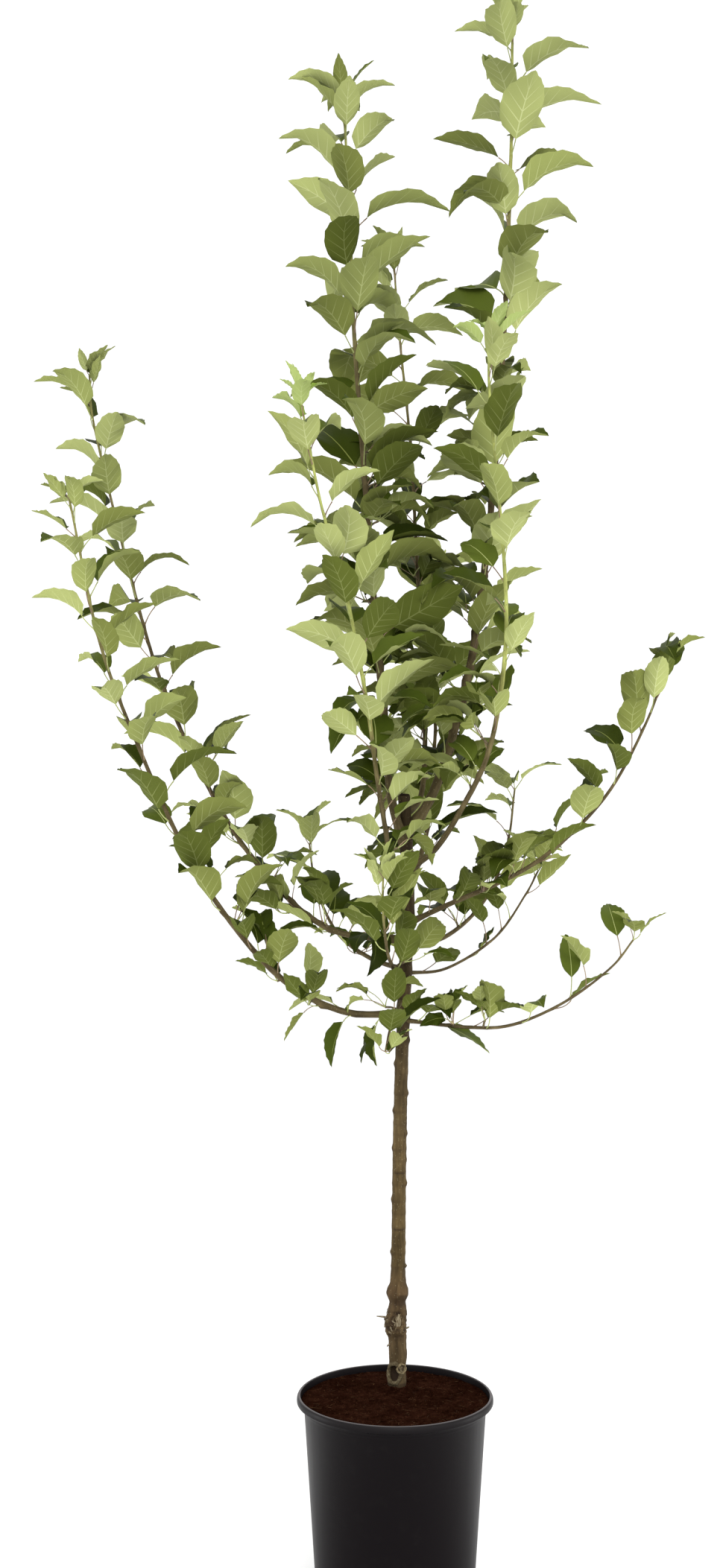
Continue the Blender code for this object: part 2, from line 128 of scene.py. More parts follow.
# Limbs: radii at the base and tip, how many foliage masses the leaves stand for, the share of the length
# where leaves start, the step between leaves, the length of a blade, the share where the wood turns green,
# how green the tip is, how much of the foliage is in shade, and the route. The routes are as in the frame,
# and eight of the boughs are up to 1.5 mm slimmer than there
Limb = namedtuple("Limb", "name base tip masses leafy pace blade green tip_green shade route")
LIMBS = (
    Limb("leader_right", 0.0070, 0.0016, 4, 0.08, 0.0158, 0.106, 0.62, 0.9, 0.22, (
        (0.016, 0.012, 1.019), (0.050, 0.020, 1.072), (0.081, 0.035, 1.162), (0.108, 0.050, 1.278),
        (0.132, 0.060, 1.466), (0.150, 0.072, 1.700), (0.160, 0.080, 1.955), (0.162, 0.080, 2.130),
    )),
    Limb("leader_left", 0.0065, 0.0015, 4, 0.10, 0.0155, 0.105, 0.55, 0.8, 0.26, (
        (0.014, 0.012, 1.000), (-0.005, -0.006, 1.068), (-0.012, -0.004, 1.153), (-0.026, 0.010, 1.306),
        (-0.044, 0.030, 1.548), (-0.055, 0.040, 1.705), (-0.061, 0.050, 1.875), (-0.069, 0.055, 2.010),
    )),
    Limb("leader_middle", 0.0040, 0.0013, 3, 0.10, 0.0190, 0.084, 0.60, 0.6, 0.50, (
        (0.015, 0.012, 1.046), (0.037, 0.060, 1.074), (0.043, 0.100, 1.171), (0.036, 0.130, 1.337),
        (0.025, 0.150, 1.555), (0.009, 0.155, 1.719), (0.001, 0.155, 1.825),
    )),
    Limb("bough_near_right", 0.0043, 0.0014, 3, 0.20, 0.0220, 0.088, 0.24, 1.0, 0.22, (
        (0.016, 0.014, 0.973), (0.051, -0.020, 0.999), (0.085, -0.060, 1.054), (0.118, -0.100, 1.130),
        (0.135, -0.130, 1.245), (0.133, -0.145, 1.359), (0.114, -0.150, 1.573), (0.117, -0.150, 1.640),
    )),
    Limb("bough_front", 0.0042, 0.0013, 3, 0.20, 0.0220, 0.090, 0.30, 1.0, 0.20, (
        (0.015, 0.020, 0.850), (0.004, -0.020, 0.902), (-0.009, -0.050, 0.998), (-0.025, -0.090, 1.097),
        (-0.038, -0.120, 1.190), (-0.067, -0.150, 1.339), (-0.093, -0.165, 1.424), (-0.120, -0.170, 1.560),
    )),
    Limb("bough_low_left", 0.0048, 0.0014, 3, 0.12, 0.0222, 0.085, 0.60, 0.6, 0.47, (
        (0.009, 0.025, 0.779), (-0.067, 0.000, 0.785), (-0.142, -0.030, 0.826), (-0.208, -0.060, 0.901),
        (-0.268, -0.080, 0.997), (-0.329, -0.090, 1.135), (-0.378, -0.090, 1.268), (-0.419, -0.070, 1.450),
    )),
    Limb("bough_inner_left", 0.0045, 0.0013, 3, 0.10, 0.0178, 0.089, 0.60, 0.6, 0.47, (
        (0.015, 0.020, 0.878), (-0.080, 0.050, 0.888), (-0.151, 0.080, 0.937), (-0.224, 0.100, 1.028),
        (-0.292, 0.115, 1.157), (-0.341, 0.120, 1.287), (-0.410, 0.110, 1.564), (-0.419, 0.100, 1.650),
    )),
    Limb("bough_mid_right", 0.0038, 0.0014, 2, 0.16, 0.0240, 0.078, 0.75, 0.3, 0.60, (
        (0.016, 0.018, 0.900), (0.069, 0.000, 0.926), (0.161, -0.020, 0.969), (0.223, -0.030, 1.015),
        (0.281, -0.035, 1.080), (0.329, -0.035, 1.171), (0.353, -0.030, 1.240),
    )),
    Limb("bough_small_right", 0.0023, 0.0012, 1, 0.35, 0.0240, 0.058, 0.90, 0.3, 0.50, (
        (0.014, 0.021, 0.834), (0.071, 0.050, 0.838), (0.139, 0.080, 0.878), (0.181, 0.090, 0.936),
        (0.198, 0.095, 0.967),
    )),
    Limb("bough_low_right", 0.0029, 0.0012, 2, 0.14, 0.0300, 0.062, 0.85, 0.5, 0.60, (
        (0.010, 0.025, 0.771), (0.097, -0.030, 0.768), (0.153, -0.055, 0.775), (0.219, -0.070, 0.807),
        (0.275, -0.080, 0.851), (0.303, -0.080, 0.886),
    )),
    Limb("bough_back", 0.0044, 0.0014, 2, 0.18, 0.0200, 0.090, 0.70, 0.5, 0.50, (
        (0.017, 0.016, 0.936), (0.030, 0.090, 0.965), (0.050, 0.180, 1.030), (0.062, 0.245, 1.140),
        (0.066, 0.275, 1.270), (0.062, 0.285, 1.400),
    )),
    Limb("bough_back_left", 0.0038, 0.0013, 1, 0.28, 0.0210, 0.080, 0.80, 0.4, 0.60, (
        (0.014, 0.021, 0.838), (-0.035, 0.085, 0.850), (-0.080, 0.160, 0.880), (-0.110, 0.220, 0.940),
        (-0.120, 0.245, 1.000),
    )),
    Limb("bough_back_right", 0.0038, 0.0013, 1, 0.28, 0.0210, 0.080, 0.80, 0.4, 0.60, (
        (0.016, 0.020, 0.868), (0.075, 0.090, 0.880), (0.130, 0.160, 0.925), (0.165, 0.210, 1.000),
        (0.178, 0.235, 1.080),
    )),
    Limb("spur_front", 0.0032, 0.0012, 1, 0.28, 0.0190, 0.078, 0.60, 0.7, 0.50, (
        (0.013, 0.022, 0.826), (0.000, -0.045, 0.840), (-0.012, -0.115, 0.875), (-0.018, -0.170, 0.930),
        (-0.018, -0.190, 0.970),
    )),
    Limb("spur_low", 0.0026, 0.0011, 1, 0.30, 0.0200, 0.060, 0.80, 0.5, 0.70, (
        (0.010, 0.024, 0.798), (0.002, -0.022, 0.788), (-0.008, -0.062, 0.768), (-0.014, -0.092, 0.745),
    )),
)

# Leaves
LEAF_LENGTH = 0.090  # of the pattern that all leaves are copied from
LEAF_HALF_WIDTH = 0.025
LEAF_THICKNESS = 0.0004
# share of the length from the stalk, half width over the widest
LEAF_OUTLINE = (
    (0.00, 0.00), (0.025, 0.33), (0.08, 0.64), (0.16, 0.86), (0.25, 0.96), (0.34, 1.00), (0.43, 0.99),
    (0.52, 0.93), (0.61, 0.81), (0.70, 0.64), (0.78, 0.46), (0.86, 0.27), (0.93, 0.11), (1.00, 0.00),
)
TOOTH = (0.0005, 0.010)  # how far a tooth stands out in metres, and forward as a share of the length
RIPPLE = 0.0010  # how far the margin rises between two ribs
MIDRIB = 0.0009  # its half width at the leaf's base
SIDE_RIBS = (0.08, 0.21, 0.35, 0.50, 0.66)  # where each pair leaves the midrib, as a share of the length
RIB_REACH = 0.20  # how much further along the leaf a side rib meets the margin
RIB_WIDTH = 0.018  # of a rib's foot, as a share of the length
RIB_DEPTH = 0.0003
RIM_STEPS = (3, 2, 2, 2, 2, 2)  # of the margin from the base to the first ribs' ends, and so on to the tip
BEND_STEPS = 40
WAVES = 2.3  # along each side of a blade
SPIRAL = math.radians(137.5)
SPRAY = 0.055  # the length of limb that one spray dresses
STALK = 0.025
STALK_RUN = ((0, 0.0013), (0.2, 0.00085), (0.45, 0.00072), (0.7, 0.00070), (0.9, 0.00076), (1.0, 0.00088))
YOUNG_LENGTH = 0.085  # of a limb's growing tip
LEAF_ROOM = 0.018  # how far past the frame's box a leaf's tip may reach

# Greens that paint light and shade into the leaves, from shaded to lit, and the young leaves' own paler
# green: upper side, underside, ribs
TINTS = {
    "shade": ((0.022, 0.032, 0.0028), (0.092, 0.113, 0.020), (0.170, 0.195, 0.058)),
    "dim": ((0.032, 0.045, 0.004), (0.180, 0.205, 0.052), (0.285, 0.315, 0.112)),
    "full": ((0.048, 0.068, 0.007), (0.272, 0.306, 0.096), (0.400, 0.440, 0.180)),
    "light": ((0.078, 0.104, 0.014), (0.348, 0.386, 0.140), (0.480, 0.520, 0.240)),
    "young": ((0.200, 0.290, 0.040), (0.360, 0.440, 0.145), (0.460, 0.530, 0.230)),
}
LIGHT_STEPS = (0.22, 0.45, 0.75)  # between shade, dim, full and light
YOUNG = 4
# part of a leaf, roughness, gloss
LEAF_SIDES = (("upper", 0.46, 0.045), ("underside", 0.66, 0.035), ("ribs", 0.60, 0.045))
STALK_TONES = {
    "leaf_stalks_green": ((0.24, 0.27, 0.09), (0.40, 0.44, 0.17)),
    "leaf_stalks_rosy": ((0.16, 0.105, 0.070), (0.30, 0.22, 0.13)),
}

# The sprays' seeds, from the foot of each limb to its tip
SEEDS = {
    "leader_right": (
        1034, 1175, 1537, 1712, 1743, 1332, 1513, 1483, 1119, 1531, 1089, 1169, 1714, 1045, 1448, 1477, 1254,
        1503, 1791,
    ),
    "leader_left": (
        1713, 1666, 1602, 1030, 1259, 1402, 1747, 1645, 1618, 1286, 1079, 1755, 1502, 1619, 1562, 1230, 1337,
    ),
    "leader_middle": (1243, 1320, 1322, 1675, 1172, 1452, 1756, 1092, 1321, 1447, 1344, 1543, 1523, 1024),
    "bough_near_right": (1542, 1600, 1392, 1488, 1147, 1504, 1078, 1454, 1294, 1164, 1266),
    "bough_front": (1208, 1750, 1298, 1743, 1740, 1705, 1591, 1171, 1403, 1278, 1529),
    "bough_low_left": (1729, 1666, 1079, 1215, 1076, 1533, 1758, 1160, 1626, 1667, 1361, 1713, 1790, 1632),
    "bough_inner_left": (
        1419, 1409, 1271, 1500, 1216, 1533, 1355, 1686, 1564, 1325, 1228, 1451, 1726, 1009, 1234, 1496,
    ),
    "bough_mid_right": (1413, 1065, 1788, 1466, 1488, 1397, 1561, 1046),
    "bough_small_right": (1693, 1466, 1247),
    "bough_low_right": (1428, 1359, 1769, 1175, 1029, 1469),
    "bough_back": (1335, 1623, 1284, 1484, 1720, 1651, 1703, 1073, 1646),
    "bough_back_left": (1077, 1477, 1604, 1213),
    "bough_back_right": (1288, 1209, 1433, 1529, 1057),
    "spur_front": (1574, 1772, 1307, 1134),
    "spur_low": (1733, 1222),
}

# Single leaves, each from a bud of its own: limb, place across and up, azimuth, rise, length, arch, light
SINGLES = (
    ("bough_low_left", -0.012, 0.785, -120, -72, 0.056, 20, 0.10),
    ("bough_low_left", -0.004, 0.785, -150, -66, 0.058, 25, 0.60),
    ("bough_low_left", -0.052, 0.790, -140, -58, 0.058, 30, 0.30),
    ("bough_low_left", -0.092, 0.805, -160, -60, 0.050, 25, 0.30),
    ("bough_low_left", -0.060, 0.792, 170, 20, 0.062, 60, 0.30),
    ("bough_low_right", 0.045, 0.775, -20, -42, 0.076, 40, 0.40),
    ("bough_low_right", 0.030, 0.773, -60, 25, 0.070, 70, 0.15),
    ("bough_low_right", 0.075, 0.773, 20, 30, 0.066, 70, 0.10),
    ("bough_low_right", 0.100, 0.773, -30, 15, 0.060, 60, 0.30),
    ("bough_small_right", 0.035, 0.838, -40, 35, 0.072, 80, 0.15),
    ("bough_inner_left", -0.025, 0.885, -120, 10, 0.074, 60, 0.20),
    ("bough_inner_left", -0.050, 0.885, -60, 25, 0.078, 70, 0.15),
    ("bough_mid_right", 0.045, 0.915, -90, 30, 0.080, 75, 0.15),
    ("bough_mid_right", 0.080, 0.930, -60, 40, 0.078, 70, 0.35),
)

Leaf = namedtuple(
    "Leaf", "foot start base along face length width bend curl fold cup wave phase twist sweep tint rosy")


class Course:
    """A smooth line through a route's points, read by the share of its length that has gone."""

    def __init__(self, route, steps=8):
        knots = [Vector(point) for point in route]
        knots = [2 * knots[0] - knots[1], *knots, 2 * knots[-1] - knots[-2]]
        self.points = []
        for a, b, c, d in zip(knots, knots[1:], knots[2:], knots[3:]):
            for step in range(steps):
                t = step / steps
                bend = (2 * a - 5 * b + 4 * c - d) * t**2 + (3 * b - a - 3 * c + d) * t**3
                self.points.append((2 * b + (c - a) * t + bend) / 2)
        self.points.append(knots[-2])
        self.gone = [0.0]
        for a, b in zip(self.points, self.points[1:]):
            self.gone.append(self.gone[-1] + (b - a).length)
        self.length = self.gone[-1]

    def at(self, share):
        target = min(max(share, 0.0), 1.0) * self.length
        i = min(bisect_right(self.gone, target), len(self.gone) - 1) - 1
        part = (target - self.gone[i]) / (self.gone[i + 1] - self.gone[i])
        return self.points[i].lerp(self.points[i + 1], part)

    def heading(self, share, reach=0.012):
        return (self.at(share + reach) - self.at(share - reach)).normalized()


def side_of(degrees):
    """The level direction at an angle round Z."""
    return Vector((math.cos(math.radians(degrees)), math.sin(math.radians(degrees)), 0))


# ---------------------------------------------------------------- studio


def clear_selection():
    bpy.ops.object.select_all(action="DESELECT")


def pick_object(made):
    clear_selection()
    made.select_set(True)
    bpy.context.view_layer.objects.active = made


def add(name, primitive, **settings):
    """A new primitive as the only thing selected."""
    clear_selection()
    primitive(**settings)
    made = bpy.context.object
    made.name = name
    return made


def build_camera():
    level = (math.radians(90), 0, 0)
    camera = add("camera", bpy.ops.object.camera_add, location=CAMERA_PLACE, rotation=level)
    camera.data.lens = LENS
    camera.data.sensor_width = SENSOR
    camera.data.shift_y = CAMERA_RISE
    bpy.context.scene.camera = camera


def build_studio():
    world = bpy.data.worlds.new("studio")
    bpy.context.scene.world = world
    world.use_nodes = True
    world.node_tree.nodes["Background"].inputs["Color"].default_value = (1, 1, 1, 1)
    world.node_tree.nodes["Background"].inputs["Strength"].default_value = WORLD_LIGHT
    for name, place, target, size, power in LAMPS:
        lamp = add(name, bpy.ops.object.light_add, type="AREA", location=place)
        lamp.rotation_euler = (Vector(target) - Vector(place)).to_track_quat("-Z", "Y").to_euler()
        lamp.data.shape = "RECTANGLE"
        lamp.data.size, lamp.data.size_y = size
        lamp.data.energy = power
    floor = add("floor", bpy.ops.mesh.primitive_circle_add, vertices=96, radius=14, fill_type="NGON")
    speckled(floor, "floor_paper", (0.92, 0.92, 0.92), 0.9, 0.3, 3.0,
             ((0.3, (0.91, 0.91, 0.91)), (0.7, (0.93, 0.93, 0.93))), Detail=2.0)
    bpy.context.scene.view_settings.view_transform = "Standard"


# ---------------------------------------------------------------- finishes


class Finish:
    """A material of the piece's own, built node by node."""

    def __init__(self, made, name, colour, roughness, gloss=0.3):
        self.material = bpy.data.materials.new(name)
        self.material.use_nodes = True
        self.material.diffuse_color = (*colour, 1)
        self.nodes = self.material.node_tree.nodes
        self.links = self.material.node_tree.links
        self.shader = self.nodes["Principled BSDF"]
        self.shader.inputs["Base Color"].default_value = (*colour, 1)
        self.shader.inputs["Roughness"].default_value = roughness
        self.shader.inputs["Specular IOR Level"].default_value = gloss
        if made is not None:
            made.data.materials.append(self.material)

    def attribute(self, name, output="Fac"):
        source = self.nodes.new("ShaderNodeAttribute")
        source.attribute_name = name
        return source.outputs[output]

    def here(self):
        return self.nodes.new("ShaderNodeTexCoord").outputs["Object"]

    def pattern(self, kind, scale, stretch=(1, 1, 1), place=None, **settings):
        """A pattern on Object coordinates, or on the attribute that place names."""
        mapping = self.nodes.new("ShaderNodeMapping")
        mapping.inputs["Scale"].default_value = stretch
        pattern = self.nodes.new(kind)
        pattern.inputs["Scale"].default_value = scale
        for socket, value in settings.items():
            pattern.inputs[socket].default_value = value
        self.links.new(self.attribute(place, "Vector") if place else self.here(), mapping.inputs["Vector"])
        self.links.new(mapping.outputs["Vector"], pattern.inputs["Vector"])
        return pattern

    def noise(self, *scales, **settings):
        return self.pattern("ShaderNodeTexNoise", *scales, **settings).outputs["Fac"]

    def cells(self, *scales, **settings):
        return self.pattern("ShaderNodeTexVoronoi", *scales, **settings).outputs["Distance"]

    def ramp(self, value, *stops):
        """value turned into colours by (position, colour) stops."""
        made = self.nodes.new("ShaderNodeValToRGB")
        elements = made.color_ramp.elements
        while len(elements) < len(stops):
            elements.new(0.5)
        for element, (position, colour) in zip(elements, stops):
            element.position = position
            element.color = (*colour, 1)
        self.links.new(value, made.inputs["Fac"])
        return made.outputs["Color"]

    def mixed(self, part, first, second, mode="MIX"):
        """first and second mixed by part. Each is a socket, a number or a colour."""
        made = self.nodes.new("ShaderNodeMix")
        made.data_type = "RGBA"
        made.blend_type = mode
        for socket, value in ((made.inputs[0], part), (made.inputs[6], first), (made.inputs[7], second)):
            if isinstance(value, bpy.types.NodeSocket):
                self.links.new(value, socket)
            else:
                socket.default_value = value if isinstance(value, float) else (*value, 1)
        return made.outputs[2]

    def carried(self, value, start, end, low=0.0, high=1.0):
        """value carried from start and end to low and high."""
        made = self.nodes.new("ShaderNodeMapRange")
        for socket, number in zip(("From Min", "From Max", "To Min", "To Max"), (start, end, low, high)):
            made.inputs[socket].default_value = number
        self.links.new(value, made.inputs["Value"])
        return made.outputs["Result"]

    def paint(self, colour):
        self.links.new(colour, self.shader.inputs["Base Color"])

    def dull(self, value, low, high):
        """Roughness between low and high, by value."""
        self.links.new(self.carried(value, 0.0, 1.0, low, high), self.shader.inputs["Roughness"])

    def bumps(self, *heights):
        """Relief from (height socket, strength, distance) triples."""
        normal = None
        for height, strength, distance in heights:
            bump = self.nodes.new("ShaderNodeBump")
            bump.inputs["Strength"].default_value = strength
            bump.inputs["Distance"].default_value = distance
            self.links.new(height, bump.inputs["Height"])
            if normal is not None:
                self.links.new(normal, bump.inputs["Normal"])
            normal = bump.outputs["Normal"]
        self.links.new(normal, self.shader.inputs["Normal"])


def speckled(made, name, colour, roughness, gloss, scale, stops, relief=None, stretch=(1, 1, 1), **settings):
    """A finish whose colour follows one cloudy pattern, in relief by (strength, distance)."""
    finish = Finish(made, name, colour, roughness, gloss)
    cloud = finish.noise(scale, stretch, **settings)
    finish.paint(finish.ramp(cloud, *stops))
    if relief:
        finish.bumps((cloud, *relief))
    return finish


def bark_finish(made, name, colours, lenticels):
    """Bark on a tube that holds bark_place, growth and band attributes."""
    finish = Finish(made, name, colours[0][1], 0.78, 0.09)
    fibre = finish.noise(260, (1, 1, 0.16), "bark_place", Detail=4.0, Roughness=0.6)
    cloud = finish.noise(55, (1, 1, 0.45), "bark_place", Detail=3.0)
    colour = finish.ramp(finish.attribute("growth"), *colours)
    for value, *stops in ((fibre, (0.30, (0.62, 0.60, 0.56)), (0.66, (1.26, 1.25, 1.22))),
                          (cloud, (0.32, (0.66, 0.64, 0.60)), (0.68, (1.26, 1.24, 1.16)))):
        colour = finish.mixed(1.0, colour, finish.ramp(value, *stops), "MULTIPLY")
    cells = finish.cells(lenticels, (1, 1, 0.8), "bark_place", Randomness=1.0)
    dot = finish.carried(cells, 0.20, 0.08)
    colour = finish.mixed(dot, colour, (0.165, 0.138, 0.080))
    # The band attribute darkens the bark: dark marks at the nodes, buds, scars and lumps, and painted shade
    # in the torn bark's hollows and round the foot just over the soil.
    finish.paint(finish.mixed(finish.attribute("band"), colour, (0.022, 0.013, 0.007)))
    finish.dull(fibre, 0.62, 0.88)
    finish.bumps((fibre, 0.5, 0.0006), (dot, 0.6, 0.0004))


def leaf_finishes():
    """Upper side, underside and ribs for each tint, in slot order. All tints but the young one are lit and
    shaded copies of one green: painted light and shade.
    """
    made = []
    for tint, colours in TINTS.items():
        for (side, roughness, gloss), colour in zip(LEAF_SIDES, colours):
            finish = Finish(None, f"leaf_{side}_{tint}", colour, roughness, gloss)
            finish.bumps((finish.cells(620), 0.25, 0.0002), (finish.noise(1500, Detail=2.0), 0.2, 0.0001))
            made.append(finish.material)
    return made


def soil_finish(made, name, light):
    finish = Finish(made, name, (0.018, 0.006, 0.0033), 0.95, 0.0)
    clods = finish.noise(130, Detail=6.0, Roughness=0.7)
    colour = finish.ramp(clods, (0.28, (0.0080 * light, 0.0022 * light, 0.0012 * light)),
                         (0.52, (0.0185 * light, 0.0062 * light, 0.0034 * light)),
                         (0.74, (0.0380 * light, 0.0160 * light, 0.0080 * light)))
    damp = finish.ramp(finish.noise(26, Detail=3.0), (0.36, (0.66, 0.62, 0.60)), (0.64, (1.14, 1.14, 1.14)))
    colour = finish.mixed(1.0, colour, damp, "MULTIPLY")
    straw = finish.ramp(finish.noise(500, (1, 0.12, 1), Detail=2.0), (0.70, (0, 0, 0)), (0.80, (1, 1, 1)))
    finish.paint(finish.mixed(straw, colour, (0.085 * light, 0.045 * light, 0.020 * light)))
    finish.bumps((clods, 0.8, 0.0020), (finish.cells(330), 0.6, 0.0010))


def pot_finish(pot):
    """Black moulded plastic, dusty in patches, with a lip paler partly from scuffing and partly from painted
    sheen, and a painted highlight along its crest.
    """
    black = (0.0034, 0.0022, 0.0028)
    finish = Finish(pot, "pot_plastic", black, 0.36, 0.06)
    streaks = finish.noise(60, (1, 1, 0.06), Detail=4.0)
    dust = finish.ramp(finish.noise(35, Detail=6.0, Roughness=0.7), (0.56, (0, 0, 0)), (0.78, (1, 1, 1)))
    colour = finish.mixed(dust, black, (0.0058, 0.0046, 0.0048))
    height = finish.nodes.new("ShaderNodeSeparateXYZ")
    finish.links.new(finish.here(), height.inputs["Vector"])
    # Painted sheen and highlight: the lip's band is paler, partly scuffed plastic and partly painted sheen,
    # and the pale line along the crest is a painted highlight.
    for start, end, tone in ((LIP_FOOT - 0.0006, POT_HEIGHT - 0.0010, (0.0120, 0.0105, 0.0110)),
                             (POT_HEIGHT - 0.0011, POT_HEIGHT - 0.0002, (0.105, 0.096, 0.097))):
        colour = finish.mixed(finish.carried(height.outputs["Z"], start, end), colour, tone)
    finish.paint(colour)
    finish.dull(streaks, 0.32, 0.46)
    finish.bumps((finish.noise(900, Detail=3.0), 0.15, 0.0002), (streaks, 0.12, 0.0006))


# ---------------------------------------------------------------- shapes


def pick_points(made, test):
    """Selects the mesh's points that pass the test, in edit mode."""
    bpy.ops.mesh.select_mode(type="VERT")
    bpy.ops.mesh.select_all(action="DESELECT")
    shape = bmesh.from_edit_mesh(made.data)
    shape.verts.ensure_lookup_table()
    for point in shape.verts:
        point.select = bool(test(point))
    shape.select_flush_mode()
    bmesh.update_edit_mesh(made.data)


def edit_all():
    bpy.ops.object.mode_set(mode="EDIT")
    bpy.ops.mesh.select_all(action="SELECT")


def weld(made, distance=1e-6):
    pick_object(made)
    edit_all()
    bpy.ops.mesh.remove_doubles(threshold=distance)
    bpy.ops.mesh.normals_make_consistent(inside=False)
    bpy.ops.object.mode_set(mode="OBJECT")


def smooth(made, degrees):
    pick_object(made)
    bpy.ops.object.shade_smooth_by_angle(angle=math.radians(degrees))


def join(name, pieces):
    clear_selection()
    for piece in pieces:
        piece.select_set(True)
    bpy.context.view_layer.objects.active = pieces[0]
    bpy.ops.object.join()
    made = bpy.context.object
    made.name = name
    return made


def tubes(name, runs, sides):
    """Tapered tubes, one for each run of (points, radii), as one mesh with closed ends."""
    guide = add(name, bpy.ops.curve.primitive_nurbs_path_add)
    line = guide.data
    line.splines.clear()
    line.bevel_depth = 1.0
    line.bevel_resolution = sides // 2 - 2
    line.use_fill_caps = True
    for points, radii in runs:
        spline = line.splines.new("POLY")
        spline.points.add(len(points) - 1)
        spline.points.foreach_set("co", np.array([(*point, 1.0) for point in points], np.float32).ravel())
        spline.points.foreach_set("radius", np.array(radii, np.float32))
    bpy.ops.object.convert(target="MESH")
    made = bpy.context.object
    made.name = name
    weld(made)
    return made


def points_of(made):
    found = np.empty(len(made.data.vertices) * 3, np.float32)
    made.data.vertices.foreach_get("co", found)
    return found.reshape(-1, 3).astype(float)


def move_points(made, points):
    made.data.vertices.foreach_set("co", points.astype(np.float32).ravel())
    made.data.update()


# A mesh as arrays: its points, the faces' corners one after another, and each face's size and material slot
Pattern = namedtuple("Pattern", "points corners sizes slots")


def read_pattern(made):
    """The piece's mesh as arrays, and the piece removed."""
    mesh = made.data
    corners = np.empty(len(mesh.loops), np.int32)
    mesh.loops.foreach_get("vertex_index", corners)
    sizes = np.empty(len(mesh.polygons), np.int32)
    mesh.polygons.foreach_get("loop_total", sizes)
    slots = np.empty(len(mesh.polygons), np.int32)
    mesh.polygons.foreach_get("material_index", slots)
    pattern = Pattern(points_of(made), corners, sizes, slots)
    bpy.data.objects.remove(made)
    return pattern


def copies(name, pattern, placed, slot_steps):
    """The pattern once for each set of points in placed, (copies, points, 3), as one mesh."""
    count, points = placed.shape[:2]
    corners = (pattern.corners[None, :] + np.arange(count)[:, None] * points).ravel()
    sizes = np.tile(pattern.sizes, count)
    slots = (pattern.slots[None, :] + np.asarray(slot_steps)[:, None]).ravel()
    mesh = bpy.data.meshes.new(name)
    mesh.vertices.add(count * points)
    mesh.vertices.foreach_set("co", placed.astype(np.float32).ravel())
    mesh.loops.add(len(corners))
    mesh.loops.foreach_set("vertex_index", corners.astype(np.int32))
    mesh.polygons.add(len(sizes))
    mesh.polygons.foreach_set("loop_start", np.concatenate([[0], np.cumsum(sizes)[:-1]]).astype(np.int32))
    mesh.polygons.foreach_set("material_index", slots.astype(np.int32))
    mesh.update(calc_edges=True)
    mesh.validate()
    made = bpy.data.objects.new(name, mesh)
    bpy.context.scene.collection.objects.link(made)
    return made


# ---------------------------------------------------------------- pot and soil


def pot_radius(height):
    return POT_FOOT_RADIUS + POT_TAPER * height


def pot_profile():
    """Radius and height of each point from the middle of the floor, over the lip and under the foot."""
    shoulder = POT_HEIGHT - RIM_DEPTH
    inner = pot_radius(POT_FLOOR) - POT_WALL
    hollow_start, hollow_end, hollow_depth = POT_HOLLOW
    return [
        (0, POT_FLOOR),
        (inner - POT_CORNER, POT_FLOOR),
        (inner, POT_FLOOR + POT_CORNER),
        *((radius, POT_HEIGHT - down) for radius, down in LIP),
        (pot_radius(shoulder), shoulder),
        *((pot_radius(taken_at) + out, height) for taken_at, height, out in BEAD),
        (pot_radius(POT_FOOT_ROUND), POT_FOOT_ROUND),
        (POT_FOOT_RADIUS - POT_FOOT_ROUND * 0.3, POT_FOOT_ROUND * 0.3),
        (POT_FOOT_RADIUS - POT_FOOT_ROUND, 0),
        (POT_FOOT_RADIUS - hollow_start, 0),
        (POT_FOOT_RADIUS - hollow_end, hollow_depth),
        (0, hollow_depth),
    ]


def build_pot():
    """A profile drawn point by point and turned about Z, with the drain holes cut out."""
    profile = pot_profile()
    pot = add("pot_shell", bpy.ops.mesh.primitive_plane_add, size=0.01)
    bpy.ops.object.mode_set(mode="EDIT")
    bpy.ops.mesh.merge(type="CENTER")
    bpy.ops.transform.translate(value=(0, 0, POT_FLOOR))
    for (radius, height), (next_radius, next_height) in zip(profile, profile[1:]):
        bpy.ops.mesh.extrude_region_move(
            TRANSFORM_OT_translate={"value": (next_radius - radius, 0, next_height - height)})
    bpy.ops.object.mode_set(mode="OBJECT")
    turn = pot.modifiers.new("turn", "SCREW")
    turn.axis = "Z"
    turn.steps = turn.render_steps = POT_STEPS
    turn.use_merge_vertices = True
    turn.merge_threshold = 0.00002
    bpy.ops.object.modifier_apply(modifier=turn.name)
    weld(pot, 0.00002)
    cutter = add("drain", bpy.ops.mesh.primitive_cylinder_add, vertices=24, radius=DRAIN_RADIUS,
                 depth=POT_FLOOR * 4, location=(DRAIN_CIRCLE, 0, 0))
    edit_all()
    for _ in range(DRAIN_HOLES - 1):
        bpy.ops.mesh.duplicate()
        bpy.ops.transform.rotate(value=-FULL_TURN / DRAIN_HOLES, orient_axis="Z", center_override=(0, 0, 0))
    bpy.ops.object.mode_set(mode="OBJECT")
    pick_object(pot)
    hole = pot.modifiers.new("drain", "BOOLEAN")
    hole.operation = "DIFFERENCE"
    hole.solver = "EXACT"
    hole.object = cutter
    bpy.ops.object.modifier_apply(modifier=hole.name)
    bpy.data.objects.remove(cutter)
    smooth(pot, 40)
    pot_finish(pot)
    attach(pot, "root")
    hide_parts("pot")


def soil_height(x, y):
    """How far the soil stands over or under its level, with a low mound round the trunk."""
    spot = Vector((x, y, 0.4))
    rough = sum(height * noise.noise(spot * fineness) for height, fineness in SOIL_RELIEF)
    away = math.hypot(x - TRUNK_ROUTE[0][0], y - TRUNK_ROUTE[0][1])
    mound = sum(height * math.exp(-((away / reach) ** power)) for height, reach, power in SOIL_MOUND)
    start, width, depth = SOIL_EDGE
    edge = max(0.0, math.hypot(x, y) - start) / width
    rough *= 1 - 0.6 * min(1.0, edge)
    return rough - 0.0008 + mound - depth * edge**2


def on_soil(x, y, lift=0.0):
    return x, y, SOIL_LEVEL + soil_height(x, y) + lift


